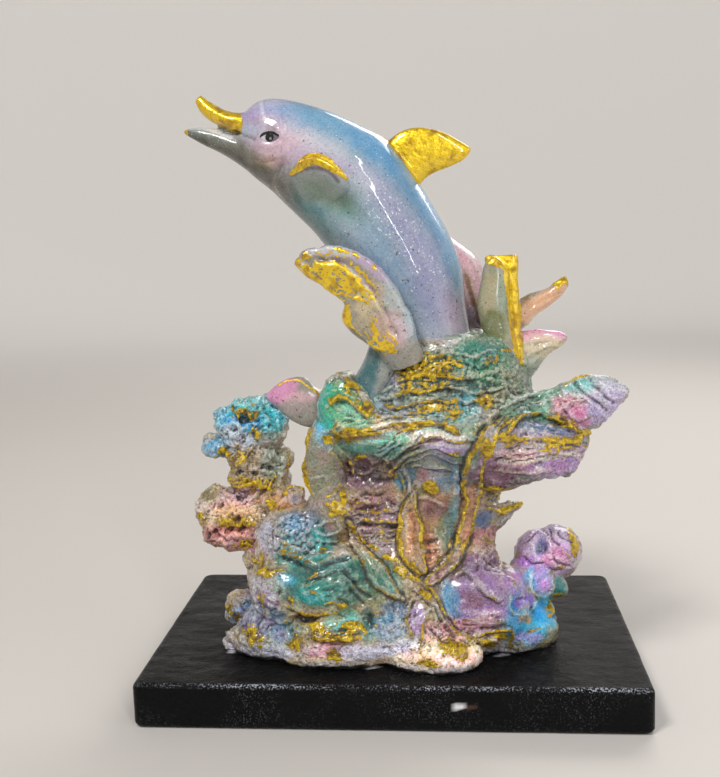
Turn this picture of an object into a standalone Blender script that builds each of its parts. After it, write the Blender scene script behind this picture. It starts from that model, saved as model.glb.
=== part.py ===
"""Resin dolphin family statue: a painted casting of leaping dolphins over a reef, on a black board.

Metres, +Z up, +X to the right of the front view, +Y away from the viewer. The origin is at the centre of
the board's underside. The casting is a free form, so it is drawn 300 units high and one unit is a share
of CAST_HEIGHT; every position and radius in a drawn form is in these units, measured from the centre of
the board's top face. The board has its own sizes.
"""

import math

import bmesh
import bpy
import numpy as np
from mathutils import Vector
from mathutils.bvhtree import BVHTree

# Driving dimensions, in metres.
CAST_HEIGHT = 0.300
PLINTH_WIDTH = 0.265
PLINTH_DEPTH = 0.170
PLINTH_THICKNESS = 0.024
PLINTH_EDGE_ROUND = 0.0028
SEAT_GAP = 0.0003

# The drawing of the casting: its height in drawn units, and the mesh it is fused into.
DRAWN_HEIGHT = 300.0
FUSE_STEP = 2.1
CAST_TRIANGLES = 8600
RING_SIDES = 28
ROWS_PER_SPAN = 6

# Where the casting's forms stand in depth.
MOTHER_Y = -5.0
CALF_Y = 26.0


# Forms: every function gives the points and faces of one closed shape, in drawn units.


def smooth_rows(rows, per_span):
    """Reads a Catmull-Rom curve through hand-set rows, per_span samples to each span."""
    rows = np.asarray(rows, float)
    padded = np.vstack([2 * rows[0] - rows[1], rows, 2 * rows[-1] - rows[-2]])
    samples = []
    for i in range(len(rows) - 1):
        p0, p1, p2, p3 = padded[i:i + 4]
        for t in np.arange(per_span) / per_span:
            samples.append(0.5 * (2 * p1 + (p2 - p0) * t + (2 * p0 - 5 * p1 + 4 * p2 - p3) * t ** 2
                                  + (3 * p1 - p0 - 3 * p2 + p3) * t ** 3))
    samples.append(rows[-1])
    return np.array(samples)


def tube_faces(rings, sides):
    """Quads between neighbouring rings and a fan at each end."""
    faces = []
    for i in range(rings - 1):
        for j in range(sides):
            k = (j + 1) % sides
            faces.append((i * sides + j, i * sides + k, (i + 1) * sides + k, (i + 1) * sides + j))
    first, last = rings * sides, rings * sides + 1
    for j in range(sides):
        k = (j + 1) % sides
        faces.append((first, k, j))
        faces.append((last, (rings - 1) * sides + j, (rings - 1) * sides + k))
    return faces


def skin(rows, sides=RING_SIDES, per_span=ROWS_PER_SPAN, square=2.0):
    """A body or blade between two edge curves.

    Each row holds a point on one edge, the point across from it on the other edge, and the half
    thickness there. The section is an ellipse (or, with a higher square, a fuller oval) over that chord.
    """
    table = smooth_rows(rows, per_span)
    edge_a, edge_b, half = table[:, 0:3], table[:, 3:6], np.maximum(table[:, 6], 0.3)
    middle, chord = (edge_a + edge_b) / 2, (edge_a - edge_b) / 2
    normal = np.cross(chord, np.gradient(middle, axis=0))
    normal /= np.linalg.norm(normal, axis=1, keepdims=True) + 1e-9
    angle = np.arange(sides) * 2 * math.pi / sides
    along = np.sign(np.cos(angle)) * np.abs(np.cos(angle)) ** (2 / square)
    out = np.sign(np.sin(angle)) * np.abs(np.sin(angle)) ** (2 / square)
    rings = (middle[:, None] + chord[:, None] * along[None, :, None]
             + (normal * half[:, None])[:, None] * out[None, :, None])
    points = np.vstack([rings.reshape(-1, 3), middle[0], middle[-1]])
    return points, tube_faces(len(table), sides)


def flat_rows(rows, y):
    """Rows of a form drawn in one plane of depth y: x, z of each edge and the half thickness."""
    return [(ax, y, az, bx, y, bz, half) for ax, az, bx, bz, half in rows]


def column(levels, sides=48, per_span=5, ridges=0.0, ridge_pitch=9.0, lobes=0.0):
    """A standing mass: rows of height, centre x, centre y, half width, half depth.

    The ring's radius swells by lobes round it and by slanting ridges up it, as thrown water does.
    """
    table = smooth_rows(levels, per_span)
    angle = np.arange(sides) * 2 * math.pi / sides
    z = table[:, 0:1]
    swell = (1 + lobes * np.sin(3 * angle + z / 23) + 0.6 * lobes * np.sin(5 * angle - z / 17 + 1)
             + ridges * np.sin(2 * math.pi * z / ridge_pitch + 1.4 * np.sin(2 * angle + 0.5)))
    x = table[:, 1:2] + table[:, 3:4] * swell * np.cos(angle)
    y = table[:, 2:3] + table[:, 4:5] * swell * np.sin(angle)
    rings = np.stack([x, y, np.broadcast_to(z, x.shape)], axis=2)
    ends = [(table[0, 1], table[0, 2], table[0, 0]), (table[-1, 1], table[-1, 2], table[-1, 0])]
    return np.vstack([rings.reshape(-1, 3), ends]), tube_faces(len(table), sides)


def lump(centre, radii, knobs=0.0, pitch=1.0, sides=24):
    """A rounded rock or coral head, with knobs standing out by a share of its radius."""
    rings = sides // 2
    polar = np.linspace(0, math.pi, rings + 2)[1:-1, None]
    angle = np.arange(sides)[None, :] * 2 * math.pi / sides
    ball = np.stack([np.sin(polar) * np.cos(angle), np.sin(polar) * np.sin(angle),
                     np.cos(polar) * np.ones_like(angle)], axis=2)
    seed = sum(centre)
    swell = 1 + knobs * (np.sin(pitch * 5 * ball[..., 0] + seed) * np.sin(pitch * 4 * ball[..., 1] + 2 * seed)
                         + np.sin(pitch * 6 * ball[..., 2] - seed) * np.sin(pitch * 5 * ball[..., 0]))
    points = (ball * swell[..., None] * radii).reshape(-1, 3)
    points = np.vstack([points, (0, 0, radii[2]), (0, 0, -radii[2])]) + centre
    return points, tube_faces(rings, sides)


def rib(route, half_width, half_height, per_span=5, sides=10):
    """A raised line, such as a frond's edge, along a route of x, y, z points."""
    route = smooth_rows(route, per_span)
    ahead = np.gradient(route, axis=0)
    across = np.stack([ahead[:, 2], np.zeros(len(route)), -ahead[:, 0]], axis=1)
    across *= half_width / (np.linalg.norm(across, axis=1, keepdims=True) + 1e-9)
    taper = np.sin(np.linspace(0.25, math.pi - 0.25, len(route)))[:, None] ** 0.5
    rows = np.hstack([route + across * taper, route - across * taper, half_height * taper])
    return skin(rows, sides=sides, per_span=1)


# The mother dolphin, leaping up to the left.

MOTHER_BODY = [
    (-79, 288, -81, 276, 6), (-75, 292, -78, 262, 13), (-67, 296, -71, 255.5, 18), (-58, 297, -63, 249, 21.5),
    (-45, 294.5, -56, 242, 24), (-30, 289.5, -49, 235, 26), (-14, 282, -41, 227, 27.5), (1, 273, -35, 219.5, 28.5),
    (14, 256, -28, 210, 29), (25, 238, -21, 199, 28.5), (34, 221.5, -15, 186, 28), (40, 204, -10, 174, 27.5),
    (42, 185, -5, 160, 27), (45, 165, -2, 146, 26), (47, 145, 2, 130, 24),
]
MOTHER_LOWER_JAW = [
    (-109, 282, -109, 280, 1), (-104, 283, -105, 277.5, 4), (-96, 283, -98, 273.5, 6), (-88, 281.5, -90, 269.5, 7.5),
    (-80, 279.5, -82, 264.5, 10), (-70, 278, -72, 257, 13),
]
MOTHER_UPPER_BEAK = [
    (-100.5, 299, -101.5, 296, 1.5), (-96, 298, -98.5, 291.5, 4), (-90, 294.5, -93, 286.5, 6),
    (-83, 291, -86, 281.5, 7.5), (-77, 290.5, -79, 279.5, 9.5), (-70, 290, -72, 279, 11),
]
MOTHER_DORSAL = [
    (-4, 268, 14, 243, 6), (7, 277, 20, 251.5, 5), (18, 279.5, 25, 255, 4.2), (30, 277, 33, 258, 3.4),
    (40, 271.5, 41, 261.5, 2.4), (45.5, 268, 45, 265.5, 1),
]
NEAR_PECTORAL = [
    (-46, -24, 256, -44, -24, 240, 5), (-42, -32, 261, -36, -30, 240, 4), (-34, -37, 262.5, -28, -34, 240, 3.6),
    (-26, -41, 259, -23, -38, 244, 3), (-19, -44, 254, -18, -43, 250, 1.2),
]
FAR_PECTORAL = [
    (-46, 12, 256, -44, 12, 240, 5), (-41, 22, 256, -35, 22, 238, 4), (-35, 30, 250, -30, 30, 234, 3.4),
    (-31, 37, 242, -28, 36, 232, 2.6), (-29, 42, 234, -27, 41, 230, 1.2),
]

# The calf that leaps behind the mother; only its back shows from the front.

CALF_BODY = [
    (-27, 247, -28, 243, 3), (-22, 252, -28, 238, 7), (-12, 253.5, -24, 231, 11), (1, 247, -18, 223, 13),
    (13, 238, -10, 216, 14), (26, 227.5, -1, 209, 14.5), (38, 218, 6, 203, 15), (49, 209, 14, 194, 15),
    (55, 194, 20, 182, 14.5), (57, 176, 24, 166, 14), (58, 150, 26, 146, 13),
]
CALF_BEAK = [(-42, 247, -42, 244, 1.5), (-35, 249, -35, 242, 4), (-27, 249.5, -28, 239, 6), (-20, 249, -22, 236, 8)]
CALF_DORSAL = [(-4, 246, 10, 236, 4), (4, 252, 12, 243, 3), (10, 254.5, 14, 249, 2.2), (15, 253.5, 15.5, 251, 1)]
CALF_PECTORAL = [
    (-8, 36, 236, -4, 38, 224, 3.5), (-12, 44, 232, -6, 45, 220, 3), (-14, 50, 224, -9, 50, 216, 2.2),
    (-14, 53, 218, -12, 53, 214, 1),
]

# The diving dolphins' tails: one fluke and its stock on the left, a pair of lobes on the right.

LEFT_FLUKE = [
    (20, -36, 160, 0, -30, 154, 6), (16, -39, 171, -4, -35, 162, 5.5), (12.5, -40, 182, -11, -35, 168, 5.2),
    (8, -40, 192, -18, -34.5, 173.5, 5), (2.5, -39.5, 200, -22, -34, 180, 4.8), (-5, -38.5, 208, -21.5, -34, 188, 4.6),
    (-14, -37, 214, -27, -34, 193.5, 4.2), (-25, -35.5, 217.5, -34, -34, 199, 3.8), (-36, -34, 217, -41, -34, 203, 3),
    (-43, -34, 214.5, -45, -34, 207, 2), (-46.5, -34, 211.5, -47, -34, 209.5, 0.8),
]
LEFT_STOCK = [
    (18, 174, -8, 172, 10), (14, 162, -12, 160, 12), (8, 152, -16, 152, 13), (3, 142, -22, 143, 14),
    (-1, 130, -29, 133, 14),
]
STANDING_LOBE = [
    (50, -12, 150, 71, -12, 150, 8), (52, -14, 165, 68, -14, 164, 7), (49, -14, 177, 66, -14, 177, 6.5),
    (48, -14, 187, 65, -14, 187, 6), (51, -13, 197, 64.5, -13, 197, 5), (54, -12, 203.5, 63, -12, 203.5, 4),
    (57, -12, 208, 61, -12, 208, 2),
]
GILT_BAND = [
    (68, -11, 150, 75, -12, 152, 3), (65, -9, 168, 71, -9, 168, 3.4), (63, -8, 186, 70.5, -8, 186, 3.4),
    (60, -7, 197, 70, -7, 198, 3.4), (54, -5, 206.5, 70.5, -5, 207, 3), (53, -4, 210.5, 70, -4, 211, 2.4),
]
RIGHT_LOBE = [
    (60, 2, 188, 62, 2, 162, 8), (71, 5, 186, 75, 5, 171, 6), (79, 6, 189.5, 81, 6, 177, 5.2),
    (87, 6, 192, 88, 6, 182, 4.6), (93, 6, 196.5, 94.5, 6, 187.5, 3.8), (97, 6, 198.5, 98.5, 6, 193, 2),
]
PINK_LOBE = [
    (62, -2, 170, 60, -2, 134, 12), (72, -4, 169.5, 73, -4, 140, 9), (80, -4, 170, 81, -4, 149, 7),
    (88, -4, 169.5, 87, -4, 157, 5), (94, -4, 168.5, 93, -4, 161, 3.5), (97, -4, 166.5, 96.5, -4, 164, 1.5),
]

# Waves and splashes round the trunk.

RIGHT_WING = [
    (66, -10, 136, 66, -10, 104, 12), (78, -10, 136, 80, -12, 107, 10), (88, -10, 137.5, 90, -12, 110, 8),
    (97, -10, 142, 100, -12, 113.5, 7), (107, -10, 145, 109, -12, 116, 6), (118, -10, 144.5, 117, -11, 121, 5),
    (126, -10, 141, 124, -10, 129, 3.5), (130, -10, 137.5, 129, -10, 134.5, 1.5),
]
RIGHT_BREAKER = [
    (52, -26, 124, 52, -22, 84, 16), (66, -30, 124, 66, -26, 88, 14), (80, -30, 122.5, 78, -26, 92.5, 12),
    (92, -27, 121, 90, -25, 93, 9), (101, -25, 120, 97, -24, 95, 6.5), (107, -24, 118, 102, -24, 103, 3.5),
]
LEFT_CURL = [
    (-30, -24, 144, -32, -24, 116, 9), (-22, -34, 150, -35, -31, 128, 6), (-12, -39, 144, -29, -37, 120, 5),
    (-5, -43, 132, -18, -42, 116, 5), (4, -46, 124, -4, -46, 114, 4),
]
LEFT_CURL_BACK = [
    (-20, -18, 150, -24, -18, 118, 10), (-29, -28, 148, -34, -27, 120, 6), (-33, -33, 139, -34, -32, 123, 4),
]
PINK_FIN = [
    (-28, -10, 140, -32, -12, 112, 7), (-38, -16, 140.5, -41, -17, 118.5, 6), (-46, -18, 147.5, -50, -18, 121.5, 5),
    (-56, -18, 147, -57, -18, 126, 4.2), (-64, -18, 142, -62, -18, 131, 3), (-68, -18, 138, -67, -18, 135.5, 1),
]
GREY_POD = [
    (-38, -20, 124, -28, -20, 124, 4), (-44.5, -27, 116, -31, -29, 118, 6), (-45.5, -28, 107, -30, -31, 108, 7),
    (-46, -28, 97, -29, -31, 98, 7), (-43, -28, 89, -31, -30, 89, 5), (-38, -27, 84.5, -35, -27, 84.5, 1.5),
]

# The trunk: height, centre x, centre y, half width, half depth.

CREST = [
    (100, 28, -6, 34, 34), (112, 26, -7, 50, 42), (121, 26, -8, 58, 46), (128, 24, -7, 56, 44), (138, 28, -5, 50, 41),
    (148, 32, -1, 45, 43), (158, 34, 1, 38, 42), (166, 35, 2, 33, 40), (170, 36, 3, 28, 37),
]
TRUNK = [
    (-6, -2, -8, 82, 48), (8, -2, -9, 76, 50), (24, 1, -10, 62, 51), (42, 3, -9, 52, 48), (58, 7, -7, 48, 43),
    (74, 11, -4, 46, 39), (90, 13, -3, 49, 39), (104, 15, -3, 50, 40), (118, 20, -3, 52, 42),
]

# Rocks and corals: centre, half sizes, and how far their knobs stand out.

ROCKS = [
    ((-52, -28, 60), (23, 20, 21), 0.08), ((-52, -34, 34), (25, 24, 22), 0.08), ((-30, -44, 40), (24, 20, 20), 0.08),
    ((-28, -50, 12), (34, 18, 20), 0.08), ((-62, -36, 8), (26, 20, 18), 0.08), ((8, -50, 16), (30, 17, 22), 0.06),
    ((26, -58, 4), (22, 14, 14), 0.08), ((46, -40, 24), (26, 22, 22), 0.07), ((44, -28, 50), (13, 16, 14), 0.1),
    ((66, -24, 8), (24, 22, 16), 0.08), ((-30, -34, 78), (18, 16, 14), 0.08), ((38, 22, 10), (42, 24, 22), 0.06),
    ((-34, 18, 8), (38, 26, 20), 0.06), ((-18, 24, 32), (30, 18, 24), 0.06), ((28, 26, 44), (22, 14, 22), 0.06),
]
LEFT_CORAL = [
    ((-77, -14, 121), (20, 16, 15), 0.1), ((-97, -14, 109), (8, 8, 7.5), 0.1), ((-76, -14, 103), (17, 14, 10), 0.1),
    ((-74, -14, 92), (17, 13, 11), 0.12), ((-59, -15, 102), (4.5, 5, 5), 0.1), ((-96, -18, 72), (15, 13, 14), 0.12),
    ((-98, -18, 60), (11, 10, 9), 0.12), ((-84, -18, 62), (15, 13, 13), 0.12), ((-74, -18, 74), (18, 14, 14), 0.1),
    ((-60, -25, 79), (12, 11, 10), 0.1), ((-70, -22, 48), (12, 12, 12), 0.1), ((-71, -24, 34), (9, 9, 12), 0.1),
    ((-83, -26, 19), (11, 11, 9), 0.1), ((-82, -32, 2), (13, 13, 9), 0.1),
]
RIGHT_CORAL = [
    ((90, -6, 45), (15, 14, 14.5), 0.08), ((74, -12, 31), (13, 13, 12), 0.1), ((82, -8, 30), (13, 13, 12), 0.08),
    ((82, -16, 25), (8, 7, 8), 0.05), ((71, -24, 18), (9, 8, 8), 0.05), ((89, -8, 23), (6, 6, 5.5), 0.05),
    ((77, -12, 8), (13, 14, 12), 0.08),
]

# Hollows pressed into the front of the trunk: x and z of the middle, half width, half height, depth.

HOLLOWS = [
    (25, 66, 7, 15, 7), (-14, 104, 18, 9, 5), (-18, 40, 16, 9, 5), (-2, 82, 9, 10, 3), (36, 92, 8, 7, 4),
    (40, 34, 12, 9, 4), (-74, 128, 7, 5, 3), (10, 34, 6, 8, 4),
]

# Fronds and ribs laid on the trunk: x and z of the route, half width, how proud they stand.

BACK_FRONDS = [
    ([(-20, 126), (-8, 110), (-4, 92), (-12, 74), (-8, 54)], 4.0, 3.4),
    ([(60, 122), (46, 108), (40, 88), (46, 70), (38, 50)], 4.0, 3.4),
    ([(-28, 132), (-4, 128), (24, 131), (52, 128), (72, 132)], 3.6, 3.2),
    ([(8, 118), (16, 98), (10, 80), (18, 60), (14, 44)], 3.0, 2.8),
    ([(-2, 150), (20, 146), (44, 149), (66, 144)], 3.0, 2.6),
]
FRONDS = [
    ([(56, 126), (46, 114), (41, 98), (42, 84), (38, 70), (34, 58), (22, 48)], 3.4, 3.2),
    ([(8, 90), (5, 78), (5, 66), (9, 56), (14, 46)], 3.4, 3.2),
    ([(8, 90), (15, 82), (18, 70), (18, 58), (16, 48)], 2.6, 2.4),
    ([(-16, 74), (-4, 58), (6, 42), (18, 30)], 3.6, 3.2),
    ([(24, 44), (36, 26), (48, 14), (64, 12)], 3.0, 3.2),
    ([(-30, 96), (-24, 84), (-28, 74)], 4.0, 3.0),
    ([(-24, 124), (0, 122), (22, 124), (40, 122), (58, 130)], 3.2, 3.4),
    ([(-20, 132), (2, 130), (26, 133), (52, 130), (74, 128)], 2.8, 2.6),
]
LEAF_FIN = [
    (50, -22, 76, 48, -20, 58, 8), (58, -20, 76, 58, -19, 62, 5), (65, -18, 77, 66, -18, 69, 3),
    (72, -18, 77, 71, -18, 73.5, 1.4),
]


def cast_forms():
    """All overlapping forms of the casting, in drawn units."""
    forms = [skin(flat_rows(rows, MOTHER_Y)) for rows in
             (MOTHER_BODY, MOTHER_LOWER_JAW, MOTHER_UPPER_BEAK, MOTHER_DORSAL)]
    forms += [skin(flat_rows(rows, CALF_Y)) for rows in (CALF_BODY, CALF_BEAK, CALF_DORSAL)]
    forms += [skin(rows) for rows in (NEAR_PECTORAL, FAR_PECTORAL, CALF_PECTORAL, LEFT_FLUKE, STANDING_LOBE,
                                      RIGHT_LOBE, PINK_LOBE, RIGHT_WING, RIGHT_BREAKER, LEFT_CURL,
                                      LEFT_CURL_BACK, PINK_FIN, GREY_POD, LEAF_FIN)]
    forms.append(skin(GILT_BAND, square=4.0))
    forms.append(skin(flat_rows(LEFT_STOCK, -22.0)))
    forms.append(column(CREST, ridges=0.022, lobes=0.02))
    forms.append(column(TRUNK, ridges=0.012, ridge_pitch=11.0, lobes=0.03))
    forms += [lump(centre, radii, knobs) for centre, radii, knobs in ROCKS]
    forms += [lump(centre, radii, knobs, pitch=1.6) for centre, radii, knobs in LEFT_CORAL + RIGHT_CORAL]
    return forms


def surface_depth(tree, x, z, look):
    """Depth of the casting's skin at x, z: its front where look is 1, its back where look is -1."""
    hit = tree.ray_cast(Vector((x, -DRAWN_HEIGHT * look, z)), Vector((0.0, look, 0.0)))[0]
    return hit.y if hit else 0.0


def joined(forms):
    """One list of points and one of faces for several forms."""
    points, faces, start = [], [], 0
    for form_points, form_faces in forms:
        points.append(form_points)
        faces += [tuple(start + index for index in face) for face in form_faces]
        start += len(form_points)
    return np.vstack(points), faces


def laid_fronds(forms):
    """The ribs of the trunk, each laid on the front or the back of the forms under it."""
    points, faces = joined(forms)
    tree = BVHTree.FromPolygons([Vector(point) for point in points], faces)
    ribs = []
    for look, fronds in ((1.0, FRONDS), (-1.0, BACK_FRONDS)):
        for route, half_width, proud in fronds:
            ribs.append(rib([(x, surface_depth(tree, x, z, look), z) for x, z in route], half_width, proud))
    return ribs


def press_hollows(mesh, share):
    """Presses the hollows into the front skin of the fused casting, deepest at the middle of each."""
    points = np.empty(len(mesh.vertices) * 3, np.float32)
    mesh.vertices.foreach_get("co", points)
    points = points.reshape(-1, 3) / share
    for x, z, half_width, half_height, depth in HOLLOWS:
        reach = ((points[:, 0] - x) / half_width) ** 2 + ((points[:, 2] - z) / half_height) ** 2
        near = (reach < 1) & (points[:, 1] < MOTHER_Y)
        front = points[near, 1].min() if near.any() else 0.0
        skin_share = np.clip(1 - (points[:, 1] - front) / (4 * depth), 0, 1)
        points[:, 1] += np.where(near, depth * (1 - reach) ** 2 * skin_share, 0)
    mesh.vertices.foreach_set("co", (points * share).astype(np.float32).ravel())


def new_object(name, points, faces, material):
    """A mesh object with its material, linked to the scene."""
    mesh = bpy.data.meshes.new(name)
    mesh.from_pydata([tuple(point) for point in points], [], faces)
    mesh.materials.append(material)
    obj = bpy.data.objects.new(name, mesh)
    bpy.context.scene.collection.objects.link(obj)
    return obj


def finish(name, colour, roughness, metallic=0.0, coat=0.0):
    """A Principled material with the piece's colour and gloss."""
    material = bpy.data.materials.new(name)
    material.use_nodes = True
    shader = material.node_tree.nodes["Principled BSDF"]
    shader.inputs["Base Color"].default_value = (*colour, 1.0)
    shader.inputs["Roughness"].default_value = roughness
    shader.inputs["Metallic"].default_value = metallic
    shader.inputs["Coat Weight"].default_value = coat
    return material


def evaluated_mesh(obj):
    """The object's mesh after its modifiers."""
    depsgraph = bpy.context.evaluated_depsgraph_get()
    return bpy.data.meshes.new_from_object(obj.evaluated_get(depsgraph))


def build_cast():
    """Fuses the forms into one solid, thins its mesh and cuts its foot flat for the board."""
    share = CAST_HEIGHT / DRAWN_HEIGHT
    forms = cast_forms()
    points, faces = joined(forms + laid_fronds(forms))
    paint = finish("painted_resin", (0.55, 0.66, 0.72), 0.3, coat=0.6)
    obj = new_object("dolphin_cast", points * share, faces, paint)
    fuse = obj.modifiers.new("Fuse", "REMESH")
    fuse.mode = "VOXEL"
    fuse.voxel_size = FUSE_STEP * share
    soften = obj.modifiers.new("Soften", "SMOOTH")
    soften.factor = 0.4
    soften.iterations = 2
    fused = evaluated_mesh(obj)
    obj.modifiers.clear()
    press_hollows(fused, share)
    obj.data = fused
    thin = obj.modifiers.new("Thin", "DECIMATE")
    thin.ratio = CAST_TRIANGLES / sum(len(face.vertices) - 2 for face in fused.polygons)
    thin.use_collapse_triangulate = True
    solid = evaluated_mesh(obj)
    obj.modifiers.clear()
    cut_foot(solid)
    solid.materials.clear()
    solid.materials.append(paint)
    obj.data = solid
    obj.location.z = PLINTH_THICKNESS + SEAT_GAP
    return obj


def cut_foot(mesh):
    """Cuts the casting flat at the height of its seat and closes the cut."""
    work = bmesh.new()
    work.from_mesh(mesh)
    geometry = work.verts[:] + work.edges[:] + work.faces[:]
    bmesh.ops.bisect_plane(work, geom=geometry, plane_co=(0, 0, 0), plane_no=(0, 0, -1), clear_outer=True)
    rim = [edge for edge in work.edges if edge.is_boundary]
    bmesh.ops.triangle_fill(work, use_beauty=True, edges=rim)
    bmesh.ops.recalc_face_normals(work, faces=work.faces[:])
    work.to_mesh(mesh)
    work.free()


def build_plinth():
    """The black painted board, its edges rounded by the paint."""
    mesh = bpy.data.meshes.new("plinth")
    work = bmesh.new()
    bmesh.ops.create_cube(work, size=1.0)
    bmesh.ops.scale(work, vec=(PLINTH_WIDTH, PLINTH_DEPTH, PLINTH_THICKNESS), verts=work.verts[:])
    bmesh.ops.translate(work, vec=(0, 0, PLINTH_THICKNESS / 2), verts=work.verts[:])
    work.to_mesh(mesh)
    work.free()
    mesh.materials.append(finish("black_gloss_paint", (0.006, 0.006, 0.007), 0.22, coat=0.5))
    obj = bpy.data.objects.new("plinth", mesh)
    bpy.context.scene.collection.objects.link(obj)
    rounding = obj.modifiers.new("Rounded edges", "BEVEL")
    rounding.width = PLINTH_EDGE_ROUND
    rounding.segments = 3
    return obj


for old in list(bpy.data.objects):
    bpy.data.objects.remove(old)
build_plinth()
build_cast()
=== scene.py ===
"""Painted resin dolphin statue: the visual model of the casting and of its black board.

The casting is drawn in units of one millimetre at its usual size, measured from the centre of the
board's top: x to the right, y away from the viewer, z up. Every form is worked out with numpy as rings
or grids, overlapping forms are fused into one skin, and the skin is carved and painted by marks that
lie on it as the front shows them.
"""

import logging
import math
from dataclasses import dataclass, field
from enum import Enum

import bmesh
import bpy
import numpy as np
from mathutils import Matrix, Vector
from mathutils.bvhtree import BVHTree


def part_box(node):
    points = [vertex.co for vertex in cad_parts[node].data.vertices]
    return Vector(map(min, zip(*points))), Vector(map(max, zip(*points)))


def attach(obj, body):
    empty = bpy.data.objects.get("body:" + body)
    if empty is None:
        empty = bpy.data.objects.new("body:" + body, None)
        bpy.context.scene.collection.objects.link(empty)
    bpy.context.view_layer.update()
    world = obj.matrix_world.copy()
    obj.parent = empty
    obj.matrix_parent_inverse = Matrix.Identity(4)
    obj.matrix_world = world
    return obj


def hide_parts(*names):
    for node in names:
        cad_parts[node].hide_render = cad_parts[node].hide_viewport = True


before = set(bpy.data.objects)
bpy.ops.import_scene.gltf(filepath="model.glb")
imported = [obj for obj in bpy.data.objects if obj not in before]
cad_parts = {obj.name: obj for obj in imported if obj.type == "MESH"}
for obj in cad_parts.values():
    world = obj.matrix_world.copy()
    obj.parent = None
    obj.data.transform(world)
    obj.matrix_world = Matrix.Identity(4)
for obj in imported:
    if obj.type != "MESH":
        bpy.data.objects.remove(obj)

LOG = logging.getLogger("statue")
Array = np.ndarray
Form = tuple[Array, Array]
Row = tuple[float, ...]

DRAWN_TOP = 298.4
VIEW_POINT = (31.8, -580.0, 233.7)
BLADE_SIDES = 48
COLUMN_SIDES = 120


class Tint(Enum):
    """The paints on the casting, as screen colours from 0 to 1."""

    PEARL = (0.86, 0.86, 0.90)
    SILVER = (0.74, 0.80, 0.85)
    LILAC = (0.80, 0.74, 0.88)
    VIOLET = (0.72, 0.58, 0.84)
    MAUVE = (0.62, 0.52, 0.60)
    PINK = (0.88, 0.62, 0.78)
    ROSE = (0.90, 0.74, 0.78)
    PEACH = (0.88, 0.72, 0.60)
    CREAM = (0.88, 0.83, 0.72)
    BEIGE = (0.74, 0.69, 0.60)
    MOSS = (0.30, 0.29, 0.20)
    STONE = (0.62, 0.61, 0.58)
    KHAKI = (0.62, 0.62, 0.50)
    OLIVE = (0.47, 0.49, 0.33)
    GREEN_GREY = (0.56, 0.63, 0.57)
    GREY_TEAL = (0.48, 0.60, 0.62)
    SEA_GREEN = (0.46, 0.70, 0.62)
    TEAL = (0.24, 0.58, 0.58)
    DEEP_TEAL = (0.16, 0.38, 0.40)
    TURQUOISE = (0.36, 0.74, 0.74)
    CYAN = (0.30, 0.74, 0.86)
    AQUA = (0.66, 0.86, 0.86)
    SKY = (0.58, 0.76, 0.88)
    BLUE = (0.36, 0.62, 0.82)
    SLATE = (0.46, 0.54, 0.66)
    RUST = (0.62, 0.40, 0.20)
    BROWN = (0.38, 0.28, 0.24)
    BLACK = (0.03, 0.03, 0.035)
    WHITE = (0.95, 0.95, 0.96)

    def linear(self) -> Array:
        """The paint as linear light."""
        shown = np.array(self.value)
        return np.where(shown < 0.04045, shown / 12.92, ((shown + 0.055) / 1.055) ** 2.4)


# Numbers that vary over space.


def hashed(cells: Array, seed: int) -> Array:
    """A fixed random number from 0 to 1 for each whole-numbered cell: its three indices are mixed by
    large primes, shifted and masked.

    Args:
        cells: whole numbers, three to a row.
        seed: picks another set of numbers.

    Returns:
        One number for each row.
    """
    mixed = cells[..., 0] * 73856093 ^ cells[..., 1] * 19349663 ^ cells[..., 2] * 83492791
    mixed = (mixed + seed * 40503) & 0x7FFFFFFF
    mixed = ((mixed ^ (mixed >> 13)) * 1274126177) & 0x7FFFFFFF
    mixed = ((mixed ^ (mixed >> 15)) * 668265263) & 0x7FFFFFFF
    return ((mixed ^ (mixed >> 16)) & 0xFFFF) / 65535.0


def soft_noise(points: Array, seed: int) -> Array:
    """Value noise from -1 to 1: the hashed numbers of the eight cell corners round each point, blended
    by the cubic 3t^2 - 2t^3 of its place in the cell."""
    base = np.floor(points).astype(np.int64)
    part = points - base
    part = part * part * (3 - 2 * part)
    total = np.zeros(len(points))
    for corner in ((0, 0, 0), (1, 0, 0), (0, 1, 0), (1, 1, 0), (0, 0, 1), (1, 0, 1), (0, 1, 1), (1, 1, 1)):
        weight = np.prod(np.where(corner, part, 1 - part), axis=1)
        total += weight * hashed(base + corner, seed)
    return total * 2 - 1


def cloud(points: Array, size: float, octaves: int = 4, seed: int = 0) -> Array:
    """Layers of value noise, each half as large and half as strong as the last.

    Args:
        points: places, three to a row.
        size: width of the largest swells.
        octaves: number of layers.
        seed: picks another pattern.

    Returns:
        About -1 to 1 for each place.
    """
    total, weight, strength = np.zeros(len(points)), 0.0, 1.0
    for layer in range(octaves):
        total += strength * soft_noise(points / size + 31.7 * layer, seed + layer)
        weight += strength
        size, strength = size / 2.03, strength * 0.55
    return total / weight * 1.4


def crests(points: Array, size: float, octaves: int = 3, seed: int = 0) -> Array:
    """Ridged noise from 0 to 1: one minus twice the size of the noise, sharp along its zero lines."""
    total, weight, strength = np.zeros(len(points)), 0.0, 1.0
    for layer in range(octaves):
        total += strength * (1 - 2 * np.abs(soft_noise(points / size + 17.3 * layer, seed + layer)))
        weight += strength
        size, strength = size / 2.1, strength * 0.5
    return np.clip(total / weight * 0.5 + 0.5, 0, 1)


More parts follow.
